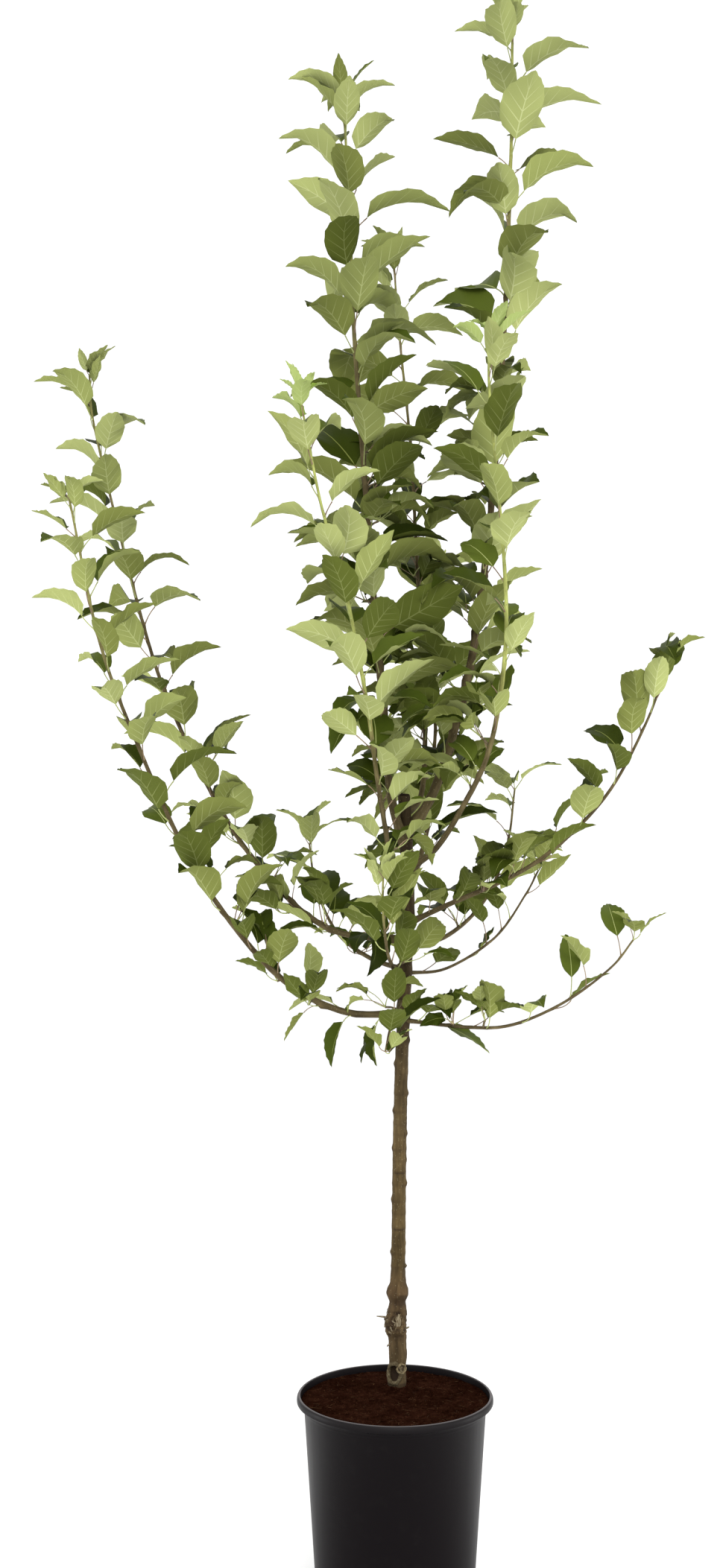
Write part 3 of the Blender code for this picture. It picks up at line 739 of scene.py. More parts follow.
def shrink_to(low, level, share):
    """The selected ring copied, moved from level to low and drawn in."""
    bpy.ops.mesh.extrude_region_move(TRANSFORM_OT_translate={"value": (0, 0, low - level)})
    bpy.ops.transform.resize(value=(share, share, 1), center_override=(0, 0, low))


def build_soil():
    radius = COLLAR - 0.0008
    soil = add("soil_bed", bpy.ops.mesh.primitive_circle_add, vertices=SOIL_SIDES, radius=radius)
    edit_all()
    bpy.ops.transform.translate(value=(0, 0, SOIL_LEVEL))
    for i in range(1, SOIL_RINGS):
        shrink_to(SOIL_LEVEL, SOIL_LEVEL, (SOIL_RINGS - i) / (SOIL_RINGS - i + 1))
    bpy.ops.mesh.extrude_region_move(TRANSFORM_OT_translate={"value": (0, 0, 0)})
    bpy.ops.mesh.merge(type="CENTER")
    pick_points(soil, lambda point: math.hypot(point.co.x, point.co.y) > radius - 1e-5)
    collar_foot = (SOIL_LEVEL - 0.005, LIP[0][0] - 0.0002)
    floor = (POT_FLOOR + SOIL_GAP, pot_radius(POT_FLOOR) - POT_WALL - SOIL_GAP)
    level, wide = SOIL_LEVEL, radius
    for low, narrow in (collar_foot, floor):
        shrink_to(low, level, narrow / wide)
        level, wide = low, narrow
    bpy.ops.mesh.edge_face_add()
    bpy.ops.mesh.select_all(action="SELECT")
    bpy.ops.mesh.normals_make_consistent(inside=False)
    bpy.ops.object.mode_set(mode="OBJECT")
    points = points_of(soil)
    for i in np.flatnonzero(points[:, 2] > SOIL_LEVEL - 0.001):
        points[i, 2] += soil_height(points[i, 0], points[i, 1])
    move_points(soil, points)
    smooth(soil, 60)
    soil_finish(soil, "soil_bed", 1.0)
    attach(soil, "root")
    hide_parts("soil")


def lay_crumbs(dice, reach):
    """Crumbs of compost half sunk in the soil, closer together round the trunk."""
    lump = add("crumb", bpy.ops.mesh.primitive_ico_sphere_add, subdivisions=1, radius=1)
    edit_all()
    bpy.ops.transform.resize(value=(1.0, 0.8, 0.62))
    bpy.ops.object.mode_set(mode="OBJECT")
    pattern = read_pattern(lump)
    far = reach * np.sqrt(dice.uniform(0, 1, CRUMBS))
    turn = dice.uniform(0, FULL_TURN, CRUMBS)
    size = CRUMB_SIZES[0] + CRUMB_SIZES[1] * dice.uniform(0, 1, CRUMBS) ** 2.4
    placed = np.empty((CRUMBS, len(pattern.points), 3))
    for i in range(CRUMBS):
        x, y = far[i] * math.cos(turn[i]), far[i] * math.sin(turn[i])
        if i < CRUMBS_BY_TRUNK:
            close = 0.0125 + 0.010 * far[i]
            x = TRUNK_ROUTE[0][0] + close * math.cos(turn[i])
            y = TRUNK_ROUTE[0][1] + close * math.sin(turn[i])
        swing = Matrix.Rotation(dice.uniform(0, 6.28), 3, "Z")
        swing = swing @ Matrix.Rotation(dice.uniform(-0.9, 0.9), 3, "X")
        lumpy = pattern.points * dice.uniform(0.72, 1.25, (len(pattern.points), 1)) * size[i]
        placed[i] = lumpy @ np.array(swing).T + on_soil(x, y, size[i] * 0.15)
    crumbs = copies("soil_crumbs", pattern, placed, np.zeros(CRUMBS, int))
    soil_finish(crumbs, "soil_crumbs", 1.25)
    return crumbs


def lay_fibres(dice, reach):
    """Short crooked fibres that lie on the soil."""
    runs = []
    for _ in range(SOIL_FIBRES):
        far = reach * math.sqrt(dice.uniform())
        place, way = dice.uniform(0, FULL_TURN, 2)
        length = dice.uniform(0.005, 0.014)
        points = []
        for step in range(4):
            way += dice.normal(0, 0.35)
            x = far * math.cos(place) + math.cos(way) * length * (step / 3 - 0.5)
            y = far * math.sin(place) + math.sin(way) * length * (step / 3 - 0.5)
            points.append(on_soil(x, y, dice.uniform(0.0001, 0.0008)))
        runs.append((points, FIBRE_RADII))
    fibres = tubes("soil_fibres", runs, 4)
    speckled(fibres, "soil_fibres", (0.12, 0.065, 0.030), 0.9, 0.1, 90,
             ((0.35, (0.030, 0.013, 0.007)), (0.65, (0.110, 0.062, 0.028))), Detail=2.0)
    return fibres


def build_crumbs():
    dice = np.random.default_rng([SEED, 201])
    reach = COLLAR - 0.0035
    for made in (lay_crumbs(dice, reach), lay_fibres(dice, reach - 0.006)):
        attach(made, "root")


# ---------------------------------------------------------------- wood


def trunk_radius(height):
    up = (height - SOIL_LEVEL) / (TRUNK_TOP - SOIL_LEVEL)
    radius = TRUNK_BASE_RADIUS + (TRUNK_TOP_RADIUS - TRUNK_BASE_RADIUS) * up
    for middle, growth, half in SWELLINGS:
        radius += growth * math.exp(-(((height - middle) / half) ** 2))
    return radius


def limb_radius(limb, share):
    return limb.base + (limb.tip - limb.base) * share**0.8


# A swelling or hollow on a tube: where on its line, which side (None is all round), how far it stands out,
# its half length, how narrow it is as a power, how dark it is, and whether it is dark all over or in a band
Knob = namedtuple("Knob", "index side stand half power dark all_dark", defaults=(1.0, 0.0, False))
BARK_RELIEF = 0.05  # as a share of the tube's radius


def give(made, name, values):
    """Stores a number or a vector for each point of the mesh, under a name that its bark reads."""
    kind, key = ("FLOAT", "value") if values.ndim == 1 else ("FLOAT_VECTOR", "vector")
    made.data.attributes.new(name, kind, "POINT").data.foreach_set(key, values.astype(np.float32).ravel())


def dress_tube(made, line, radii, knobs, growth, torn=None):
    """Raises knobs and bark relief on a tube along a line, and gives it the attributes its bark reads."""
    points = points_of(made)
    line = np.array(line, float)
    gone = np.concatenate([[0], np.cumsum(np.linalg.norm(np.diff(line, axis=0), axis=1))])
    heading = np.gradient(line, axis=0)
    heading /= np.linalg.norm(heading, axis=1, keepdims=True)
    nearest = np.empty(len(points), int)
    for start in range(0, len(points), 2000):
        gap = points[start:start + 2000, None] - line[None]
        nearest[start:start + 2000] = (gap**2).sum(2).argmin(1)
    out = points - line[nearest]
    along_line = (out * heading[nearest]).sum(1)
    out -= along_line[:, None] * heading[nearest]
    size = np.linalg.norm(out, axis=1)
    far = out / np.maximum(size, 1e-9)[:, None]
    along = gone[nearest] + along_line
    lift = np.zeros(len(points))
    band = np.zeros(len(points))
    for knob in knobs:
        ahead = along - gone[knob.index]
        facing = 1.0 if knob.side is None else np.maximum(0, far @ np.array(knob.side)) ** knob.power
        lift += knob.stand * np.exp(-((ahead / knob.half) ** 2)) * facing
        if knob.all_dark:
            stain = np.exp(-((ahead / knob.half) ** 4))
        else:
            stain = np.exp(-(((ahead + knob.half * 0.4) / (knob.half * 0.45)) ** 2))
        band = np.maximum(band, knob.dark * np.minimum(1, stain * facing * 1.8))
    scale = 1 / max(radii)
    for i in range(len(points)):
        spot = Vector((far[i][0] * 2.2, far[i][1] * 2.2, along[i] * scale * 0.55))
        lift[i] += BARK_RELIEF * size[i] * (noise.noise(spot * 2.0) + 0.6 * noise.noise(spot * 5.3))
    if torn:
        middle, half, stand = torn
        for i in np.flatnonzero(np.abs(along - gone[middle]) < 1.5 * half):
            share = math.exp(-(((along[i] - gone[middle]) / half) ** 4))
            spot = Vector(points[i]) * 210
            crag = noise.noise(spot) + 0.5 * noise.noise(spot * 2.1)
            lift[i] += stand * share * crag
            # Painted shade: the torn bark is darkened in its hollows.
            band[i] = max(band[i], min(0.85, share * max(0.0, -crag - 0.08) * 2.6))
    points += far * (lift * (size > 1e-5))[:, None]
    move_points(made, points)
    side = np.cross(heading[nearest], (0.0, 1.0, 0.2))
    side /= np.maximum(np.linalg.norm(side, axis=1, keepdims=True), 1e-9)
    over = np.cross(heading[nearest], side)
    give(made, "bark_place", np.stack([(out * side).sum(1), (out * over).sum(1), along], axis=1))
    give(made, "growth", np.interp(nearest / (len(line) - 1), np.linspace(0, 1, len(growth)), growth))
    give(made, "band", np.clip(band, 0, 1))


LEFT, RIGHT, FRONT = (-1, 0, 0), (1, 0, 0), (0, -1, 0)
# height, direction, how far it stands out, half length, how dark its band is
TRUNK_NODES = (
    (0.713, LEFT, 0.0016, 0.006, 0.6), (0.673, RIGHT, 0.0016, 0.006, 0.7), (0.649, LEFT, 0.0013, 0.006, 0.9),
    (0.618, RIGHT, 0.0015, 0.006, 0.6), (0.598, LEFT, 0.0015, 0.006, 0.7), (0.568, FRONT, 0.0010, 0.005, 0.9),
    (0.551, RIGHT, 0.0016, 0.006, 0.7), (0.528, LEFT, 0.0014, 0.006, 0.7), (0.491, FRONT, 0.0012, 0.005, 0.9),
    (0.458, LEFT, 0.0015, 0.006, 0.7), (0.438, RIGHT, 0.0020, 0.003, 0.8), (0.745, RIGHT, 0.0014, 0.006, 0.6),
    (0.700, (0.3, 1, 0), 0.0016, 0.006, 0.7), (0.632, (-0.4, 1, 0), 0.0015, 0.006, 0.7),
    (0.583, (0.5, 0.8, 0), 0.0015, 0.006, 0.7), (0.512, (-0.2, 1, 0), 0.0015, 0.006, 0.7),
    (0.470, (0.4, 0.9, 0), 0.0015, 0.006, 0.7), (0.840, LEFT, 0.0014, 0.006, 0.5),
    (0.965, LEFT, 0.0014, 0.006, 0.5),
)

# The rough wood under the graft and at the foot: height, side, how far it stands out, half length, how narrow
# it is as a power, how dark
TRUNK_LUMPS = (
    (0.4010, (-1, -0.2, 0), 0.0020, 0.0080, 1.0, 0.0), (0.4000, (1, -0.2, 0), 0.0010, 0.0080, 1.0, 0.0),
    (0.4150, None, -0.0012, 0.0060, 1, 0.0), (0.3925, (0.6, -0.8, 0), -0.0010, 0.0060, 1.2, 0.6),
    (0.3905, None, -0.0006, 0.0030, 1, 0.25), (0.3990, (0.4, -0.9, 0), 0.0005, 0.0028, 9, 0.6),
    (0.3800, (-1, -0.2, 0), 0.0015, 0.0060, 1.0, 0.0), (0.3800, (1, -0.2, 0), 0.0007, 0.0080, 1.0, 0.0),
    (0.3772, (-0.05, -1, 0), -0.0012, 0.0022, 12, 0.9), (0.3660, (-0.45, -0.9, 0), -0.0012, 0.0080, 30, 0.8),
    (0.3630, (-1, -0.3, 0), 0.0048, 0.0085, 1.6, 0.0), (0.3480, (-0.95, -0.3, 0), 0.0030, 0.0060, 1.6, 0.0),
    (0.3600, (1, 0, 0), -0.0015, 0.0100, 1.2, 0.0), (0.3540, (0.45, -0.9, 0), 0.0018, 0.0050, 5, 0.0),
    (0.3640, (-0.62, -0.8, 0), 0.0014, 0.0050, 9, 0.0), (0.3560, (-0.75, -0.65, 0), -0.0014, 0.0030, 14, 0.9),
    (0.3520, (-0.15, -1, 0), 0.0012, 0.0030, 8, 0.0), (0.3455, (0.1, -1, 0), -0.0010, 0.0020, 4, 0.5),
    (0.3230, None, 0.0014, 0.0220, 1, 0.0), (0.3160, (1, -0.1, 0), 0.0020, 0.0160, 1.2, 0.0),
    (0.3600, (0.2, 1, 0), 0.0022, 0.0090, 3, 0.0), (0.3760, (-0.6, 0.8, 0), 0.0016, 0.0050, 5, 0.3),
    # Painted shade: a dark band round the foot, just over the soil.
    (SOIL_LEVEL + 0.002, None, -0.0006, 0.0070, 1, 0.75),
)
TORN = (0.3600, 0.0165, 0.0017)  # height of the torn bark's middle, its half length, how far it stands out
SCARS = (  # height, angle round the trunk, half width, half height, thickness, hollow, paleness
    (0.2960, -112, 0.0098, 0.0128, 0.0026, -0.0060, 0.50),
    (0.3022, -62, 0.0054, 0.0060, 0.0034, -0.0040, 1.0),
    (0.3420, 70, 0.0052, 0.0066, 0.0022, -0.0026, 1.0),
)
CALLUS = ((0.30, (0.050, 0.032, 0.016)), (0.50, (0.150, 0.115, 0.062)), (0.70, (0.330, 0.275, 0.165)))
# Dry stubs: height, angle round the trunk, points across, up and out, radius
STUBS = (
    (0.3690, 192, ((0, 0, 0.000), (-0.001, 0.001, 0.007), (-0.002, 0.0014, 0.0145)), 0.0014),
    (0.3680, 215, ((0, 0, -0.001), (-0.002, -0.001, 0.0025), (-0.003, -0.004, 0.0030)), 0.0012),
    (0.3610, 190, ((0, 0, -0.001), (0.000, -0.001, 0.0030), (0.001, -0.005, 0.0042)), 0.0013),
    (0.3560, 235, ((-0.002, 0.003, 0), (0.000, 0.000, 0.0016), (0.002, -0.004, 0.0004)), 0.0012),
    (0.3650, 250, ((-0.003, 0.002, 0), (0.000, 0.001, 0.0014), (0.004, -0.002, 0.0002)), 0.0011),
    (0.3545, -14, ((0, 0, -0.002), (0.000, 0.001, 0.0004), (0.001, 0.002, 0.0020)), 0.0013),
    (0.3330, 200, ((0, 0, -0.001), (0.000, -0.001, 0.0022), (0.000, -0.003, 0.0034)), 0.0012),
    (0.3500, 222, ((-0.002, 0.002, 0), (0.001, 0.001, 0.0018), (0.004, 0.000, 0.0006)), 0.0013),
)
TORN_WOOD = (0.3670, -88)  # height and angle of the bare wood inside the torn bark
FLAKES = 44
FLAKE_HEIGHTS, FLAKE_ANGLES = (0.345, 0.379), (165, 318)
TRUNK_BARK = (
    (0.00, (0.090, 0.065, 0.034)), (0.10, (0.080, 0.055, 0.028)), (0.17, (0.067, 0.043, 0.022)),
    (0.22, (0.074, 0.052, 0.022)), (0.42, (0.074, 0.052, 0.024)), (0.58, (0.056, 0.040, 0.020)),
    (1.00, (0.038, 0.027, 0.014)),
)
LIMB_BARK = (
    (0.00, (0.098, 0.078, 0.040)), (0.25, (0.140, 0.120, 0.056)), (0.50, (0.190, 0.175, 0.074)),
    (0.75, (0.260, 0.270, 0.090)), (1.00, (0.340, 0.385, 0.125)),
)
# The trunk's rings: from, to and step, closer together round the graft and under it
TRUNK_STEPS = ((SOIL_LEVEL - 0.007, 0.425, 0.0011), (0.425, TRUNK_TOP, 0.0017))


def build_trunk():
    course = Course(TRUNK_ROUTE)
    heights = np.concatenate([np.arange(*span) for span in TRUNK_STEPS])
    x, y, z = np.array([course.at(i / 2000) for i in range(2001)]).T
    line = [Vector(point) for point in zip(np.interp(heights, z, x), np.interp(heights, z, y), heights)]
    radii = [trunk_radius(point.z) * 0.985 for point in line]
    trunk = tubes("trunk_bark", [(line, radii)], 40)

    def level(height):
        return int(np.abs(heights - height).argmin())

    knobs = []
    for height, side, stand, half, dark in TRUNK_NODES:
        knobs.append(Knob(level(height), Vector(side).normalized(), stand, half * 0.70, 2.5, dark * 0.75))
        knobs.append(Knob(level(height), None, stand * 0.20, half * 0.55, 1, dark * 0.28))
    for height, side, stand, half, power, dark in TRUNK_LUMPS:
        side = Vector(side).normalized() if side else None
        knobs.append(Knob(level(height), side, stand, half, power, dark, dark > 0))
    for height, degrees, width, tall, _, hollow, _ in SCARS:
        power = 0.7 / (1 - math.cos(min(1.4, width / 0.0125)))
        knobs.append(Knob(level(height), side_of(degrees), hollow, tall * 0.85, power, 1.0, True))
    for limb in LIMBS:
        way = Vector(limb.route[1]) - Vector(limb.route[0])
        side = Vector((way.x, way.y, 0)).normalized()
        knobs.append(Knob(level(limb.route[0][2] + 0.004), side, limb.base * 0.35, 0.011, 1.5, 0.5))
    dress_tube(trunk, line, radii, knobs, np.clip((heights - 0.27) / 0.8, 0, 1), (level(TORN[0]), *TORN[1:]))
    smooth(trunk, 70)
    bark_finish(trunk, "trunk_bark", TRUNK_BARK, 300)
    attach(trunk, "root")
    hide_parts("trunk")
    skin = points_of(trunk)
    for made in (build_scars(course), build_cuts(course), build_dry_wood(course), build_flakes(course, skin)):
        smooth(made, 60)
        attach(made, "root")


def share_up(height):
    return (height - TRUNK_ROUTE[0][2]) / (TRUNK_TOP - TRUNK_ROUTE[0][2])


def on_trunk(course, points, height, degrees):
    """Points given as (across, up, out) laid on the trunk's round skin."""
    laid = []
    for across, up, out in points:
        z = height + up
        radius = trunk_radius(z) + 0.0009
        away = side_of(degrees + math.degrees(across / radius))
        middle = course.at(share_up(z))
        laid.append(Vector((middle.x, middle.y, z)) + away * (radius + out))
    return np.array(laid)


def build_scars(course):
    """Lumpy callus rings round the cuts where suckers were pruned at the foot."""
    rings = []
    for number, (height, degrees, width, tall, thick, _, pale) in enumerate(SCARS):
        ring = add(f"scar_{number}", bpy.ops.mesh.primitive_torus_add, major_segments=40, minor_segments=10,
                   major_radius=1.0, minor_radius=0.24)
        points = []
        for x, y, z in points_of(ring):
            lump = 1 + 0.14 * noise.noise(Vector((x, y, z)) * 2.3 + Vector((height, 0, 0)) * 90)
            pinch = 1 - 0.35 * (math.hypot(x, y) - 1)
            points.append((x * width * lump, y * tall * lump, z * thick / 0.24 * lump * pinch))
        move_points(ring, on_trunk(course, points, height, degrees))
        stops = [(at, tuple(pale * part for part in colour)) for at, colour in CALLUS]
        speckled(ring, f"callus_{number}", (0.125, 0.095, 0.052), 0.85, 0.08, 330, stops, (0.7, 0.0009),
                 Detail=5.0, Roughness=0.7)
        rings.append(ring)
    return join("trunk_scars", rings)


def build_cuts(course):
    """The cut end of the trunk, and the dark heart of the second scar."""
    heart = add("heart", bpy.ops.mesh.primitive_uv_sphere_add, segments=20, ring_count=8, radius=1.0)
    wide = TRUNK_TOP_RADIUS * 0.93
    move_points(heart, points_of(heart) * (wide, wide, 0.0016) + np.array(course.at(1)))
    pit = add("pit", bpy.ops.mesh.primitive_uv_sphere_add, segments=20, ring_count=10, radius=1.0)
    height, degrees, width, tall, *_ = SCARS[1]
    move_points(pit, on_trunk(course, points_of(pit) * (width * 0.78, tall * 0.78, 0.0016), height, degrees))
    made = join("trunk_cuts", [heart, pit])
    speckled(made, "dark_cut", (0.03, 0.02, 0.012), 0.9, 0.1, 520,
             ((0.32, (0.010, 0.006, 0.004)), (0.60, (0.050, 0.034, 0.019)), (0.80, (0.13, 0.10, 0.06))),
             (0.8, 0.0012), Detail=4.0)
    return made


def build_dry_wood(course):
    """Dry stubs and a lump of bare wood under the graft."""
    runs = [(on_trunk(course, points, height, degrees), (thick, thick * 0.9, thick * 0.5))
            for height, degrees, points, thick in STUBS]
    wood = add("wood", bpy.ops.mesh.primitive_uv_sphere_add, segments=24, ring_count=14, radius=1.0,
               rotation=(math.pi / 2, 0, 0))
    bpy.ops.object.transform_apply(rotation=True)
    points = []
    for x, y, z in points_of(wood):
        lump = 1 + 0.30 * noise.noise(Vector((x, y, z)) * 1.7 + Vector((3, 1, 0)))
        across = (x * (0.0040 - 0.0014 * z) + 0.0004 * z) * lump
        points.append((across, z * 0.0092 * lump, -y * 0.0016 * lump - 0.0004))
    move_points(wood, on_trunk(course, points, *TORN_WOOD))
    made = join("trunk_dry_wood", [tubes("stubs", runs, 8), wood])
    speckled(made, "dry_wood", (0.20, 0.17, 0.11), 0.9, 0.06, 600,
             ((0.35, (0.085, 0.064, 0.036)), (0.65, (0.240, 0.200, 0.130))), stretch=(1, 1, 0.2), Detail=3.0)
    return made


def build_flakes(course, skin):
    """Short ridges and flakes of torn bark that stand on the trunk's skin under the graft."""
    dice = np.random.default_rng([SEED, 301])
    runs = []
    for _ in range(FLAKES):
        height, turn = dice.uniform(*FLAKE_HEIGHTS), dice.uniform(*FLAKE_ANGLES)
        tilt, length = dice.normal(0, 0.45), dice.uniform(0.0030, 0.0075)
        thick = dice.uniform(0.00035, 0.0008)
        middle = course.at(share_up(height))
        out = side_of(turn)
        across = UP.cross(out)
        level = skin[np.abs(skin[:, 2] - height) < 0.0016] - np.array(middle)
        near = level[(np.abs(level @ np.array(across)) < 0.0022) & (level @ np.array(out) > 0)]
        foot = Vector((middle.x, middle.y, height)) + out * float((near @ np.array(out)).max())
        along = (UP * math.cos(tilt) + across * math.sin(tilt)) * length
        lift = dice.uniform(0.0001, 0.0008)
        steps = ((-0.5, -0.0008, 0.5), (-0.2, lift * 0.6, 1.0), (0.2, lift, 0.9), (0.5, -0.0004, 0.35))
        points = [foot + along * far + out * rise for far, rise, _ in steps]
        runs.append((points, [thick * share for *_, share in steps]))
    made = tubes("trunk_rough_bark", runs, 6)
    speckled(made, "rough_bark", (0.09, 0.065, 0.035), 0.9, 0.08, 260,
             ((0.34, (0.022, 0.013, 0.007)), (0.52, (0.100, 0.072, 0.038)), (0.68, (0.210, 0.170, 0.105))),
             (0.7, 0.0008), Detail=4.0, Roughness=0.7)
    return made


def build_limb(limb, course, buds):
    """The whole limb, from inside the trunk to its growing tip, with a knob for each bud."""
    count = max(24, round(course.length / 0.0045))
    shares = np.linspace(0, 1, count)
    line = [course.at(share) for share in shares]
    radii = [limb_radius(limb, share) for share in shares]
    made = tubes(f"{limb.name}_bark", [(line, radii)], 12)
    knobs = []
    for share, away in buds:
        index = int(round(share * (count - 1)))
        size = radii[index]
        knobs.append(Knob(index, away, 0.32 * size + 0.0003, 0.0035 + size * 0.5, 2.0, 0.35))
    knobs.append(Knob(int(0.02 * count), None, limb.base * 0.35, 0.012))
    green = np.clip((shares - limb.green) / 0.26, 0, 1)
    growth = limb.tip_green * green * green * (3 - 2 * green)
    dress_tube(made, line, radii, knobs, growth)
    smooth(made, 70)
    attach(made, "root")
    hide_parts(limb.name)
    return made


# ---------------------------------------------------------------- leaves


def leaf_pattern():
    """One flat leaf with its tip along +Y, as arrays: an upper and a lower skin that meet at a toothed rim.

    On both skins a slim face runs out from the midrib to the rim for each side rib."""
    base, tip = 0, 1
    points = [(0, 0, 0), (0, LEAF_LENGTH, 0)]

    def point(x, share, z):
        points.append((x, share * LEAF_LENGTH, z))
        return len(points) - 1

    ends = [0.0, *(foot + RIB_REACH for foot in SIDE_RIBS), 1.0]
    rims = {-1: [[base]], 1: [[base]]}
    for way, runs in rims.items():
        for start, end, count in zip(ends, ends[1:], RIM_STEPS):
            run = [runs[-1][-1]]
            for step in range(1, count + 1):
                share, tooth = start + (end - start) * step / count, step % 2
                half = float(np.interp(share, *zip(*LEAF_OUTLINE))) * LEAF_HALF_WIDTH + TOOTH[0] * tooth
                if share > 0.999:
                    run.append(tip)
                else:
                    run.append(point(way * half, share + TOOTH[1] * tooth, RIPPLE * (tooth - 0.4)))
            runs.append(run)
    faces = []
    upper, under = LEAF_THICKNESS / 2, -LEAF_THICKNESS / 2 - RIB_DEPTH
    for up, height, blade, ribs in ((1, upper, 0, 0), (-1, under, 1, 2)):
        rows = {}
        for way in (-1, 1):
            row = [base]
            for foot in SIDE_RIBS:
                for shift in (-RIB_WIDTH / 2, RIB_WIDTH / 2):
                    row.append(point(way * MIDRIB * (1 - 0.8 * foot), foot + shift, height))
            rows[way] = row = [*row, tip]
            for number, run in enumerate(rims[way][1:]):
                first, last = row[2 * number:2 * number + 2]
                turn = 0 if first == base else len(run) - 1 if last == tip else len(run) // 2
                fans = [(first, run[i], run[i + 1]) for i in range(turn)] + [(first, run[turn], last)]
                fans += [(last, run[i], run[i + 1]) for i in range(turn, len(run) - 1)]
                faces += [(fan[::way * up], blade) for fan in fans if len(set(fan)) == 3]
                if last != tip:
                    faces.append(((last, run[-1], row[2 * number + 2])[::way * up], ribs))
        cuts = (0, *range(1, len(row), 2))
        for low, high in zip(cuts, cuts[1:]):
            midrib = tuple(dict.fromkeys(rows[1][low:high + 1] + rows[-1][low:high + 1][::-1]))
            faces.append((midrib[::up], 1 + blade))
    return Pattern(np.array(points), np.array([i for face, _ in faces for i in face]),
                   np.array([len(face) for face, _ in faces]), np.array([slot for _, slot in faces]))


def bent_line(angles, at):
    """How far a blade has run and fallen at each place along it, for each leaf's angles along its length."""
    low = np.minimum(at.astype(int), BEND_STEPS - 1)
    found = []
    for part in (np.cos(angles), np.sin(angles)):
        steps = (part[:, 1:] + part[:, :-1]) / 2 / BEND_STEPS
        gone = np.concatenate([np.zeros((len(angles), 1)), np.cumsum(steps, 1)], 1)
        found.append(gone[:, low] * (1 - (at - low)) + gone[:, low + 1] * (at - low))
    return found


def spread_leaves(leaves, points):
    """The flat pattern's points bent, folded and turned into place for each leaf, as (leaves, points, 3)."""
    def of_each(name):
        return np.array([getattr(leaf, name) for leaf in leaves], float)

    def column(name):
        return of_each(name)[:, None]

    t = points[:, 1] / LEAF_LENGTH
    on_blade = np.clip(t, 0, 1)
    length = column("length")
    run, fall = bent_line(column("bend") * np.linspace(0, 1, BEND_STEPS + 1)[None, :] ** column("curl"),
                          on_blade * BEND_STEPS)
    run, fall = run * length, fall * length
    angle = column("bend") * on_blade ** column("curl")
    x = points[:, 0] * column("width") / LEAF_HALF_WIDTH / 2
    span = np.abs(points[:, 0]) / LEAF_HALF_WIDTH
    fold = column("fold") * (1 - 0.35 * t)
    lift = np.abs(x) * np.sin(fold) - column("cup") * column("width") * span**2 * 0.5
    phase = column("phase") + 1.3 * (points[:, 0] > 0)
    lift += column("wave") * np.sin(FULL_TURN * WAVES * t + phase) * span**1.5 + points[:, 2]
    side = x * np.cos(fold) + column("sweep") * length * t**2
    roll = column("twist") * t
    side, lift = side * np.cos(roll) - lift * np.sin(roll), side * np.sin(roll) + lift * np.cos(roll)
    forward = run + lift * np.sin(angle)
    upward = -fall + lift * np.cos(angle)
    along, face = of_each("along"), of_each("face")
    placed = of_each("base")[:, None]
    for reach, way in ((forward, along), (upward, face), (side, np.cross(along, face))):
        placed = placed + reach[..., None] * way[:, None]
    return placed


LEAST = np.array(cad_box[0]) - LEAF_ROOM
MOST = np.array(cad_box[1]) + LEAF_ROOM


def clipped(value, low, high):
    return float(np.clip(value, low, high))


def grow_leaf(dice, foot, heading, away, size, light, young, rise, arch, stalk=STALK):
    """A leaf whose stalk leaves the wood at foot. It climbs, then arches over to its drooping tip."""
    lean = math.hypot(heading.x, heading.y)
    level = Vector((away.x, away.y, 0)) + Vector((heading.x, heading.y, 0)) * 0.45 * lean
    level += Vector((dice.normal(0, 0.15), dice.normal(0, 0.15), 0))
    if level.length < 0.2:
        level = side_of(math.degrees(dice.uniform(0, FULL_TURN)))
    level.normalize()
    climb = math.radians(dice.normal(rise, 13) + 4 * max(0.0, -level.y))
    start = (heading * (0.8 - 0.35 * lean) + away * 0.62 + UP * 0.3 * lean).normalized()
    along = (level * math.cos(climb) + UP * math.sin(climb) + start * 0.25).normalized()
    face = SKY - along * along.dot(SKY)
    face = face.normalized() if face.length > 0.05 else -level
    face = (Matrix.Rotation(dice.normal(0, math.radians(22)), 3, along) @ face).normalized()
    length = size * clipped(dice.normal(1, 0.11), 0.72, 1.25)
    width = length * clipped(dice.normal(0.53 - 0.12 * young, 0.04), 0.36, 0.62)
    stalk = stalk * float(dice.uniform(0.75, 1.25)) * (1 - 0.45 * young)
    base = foot + (start * 0.55 + along * 0.45) * stalk
    bend = math.radians(clipped(dice.normal(arch - 20 * young, 20), 12, 120))
    for _ in range(6):
        chord = along * math.cos(bend * 0.45) - face * math.sin(bend * 0.45)
        tip = base + chord * length * 0.93
        if (np.array(tip) > LEAST).all() and (np.array(tip) < MOST).all():
            break
        length *= 0.88
        width *= 0.93
    # The tint paints light and shade into the leaf's colour; only the young tint is the leaf's own green.
    if young > 0.5 and light > 1:
        tint = YOUNG
    else:
        tint = int(np.searchsorted(LIGHT_STEPS, light + dice.normal(0, 0.30)))
    fold, cup = math.radians(dice.uniform(20, 48)), dice.uniform(0.04, 0.28)
    wave, phase = dice.uniform(0.0006, 0.0030), dice.uniform(0, 6.28)
    twist, sweep, rosy = dice.normal(0, 0.30), dice.normal(0, 0.07), dice.uniform() < 0.45
    return Leaf(foot, start, base, along, face, length, width, bend, 1.15 + 0.30 * math.sin(phase), fold, cup,
                wave, phase, twist, sweep, tint, rosy)


def sideways(heading):
    side = UP if abs(heading.z) < 0.8 else Vector((0, 1, 0))
    across = heading.cross(side).normalized()
    return across, heading.cross(across)


def outwards(heading, turn):
    """The direction square to heading at an angle round it."""
    across, over = sideways(heading)
    return across * math.cos(turn) + over * math.sin(turn)


def squared(away, heading):
    return (away - heading * away.dot(heading)).normalized()


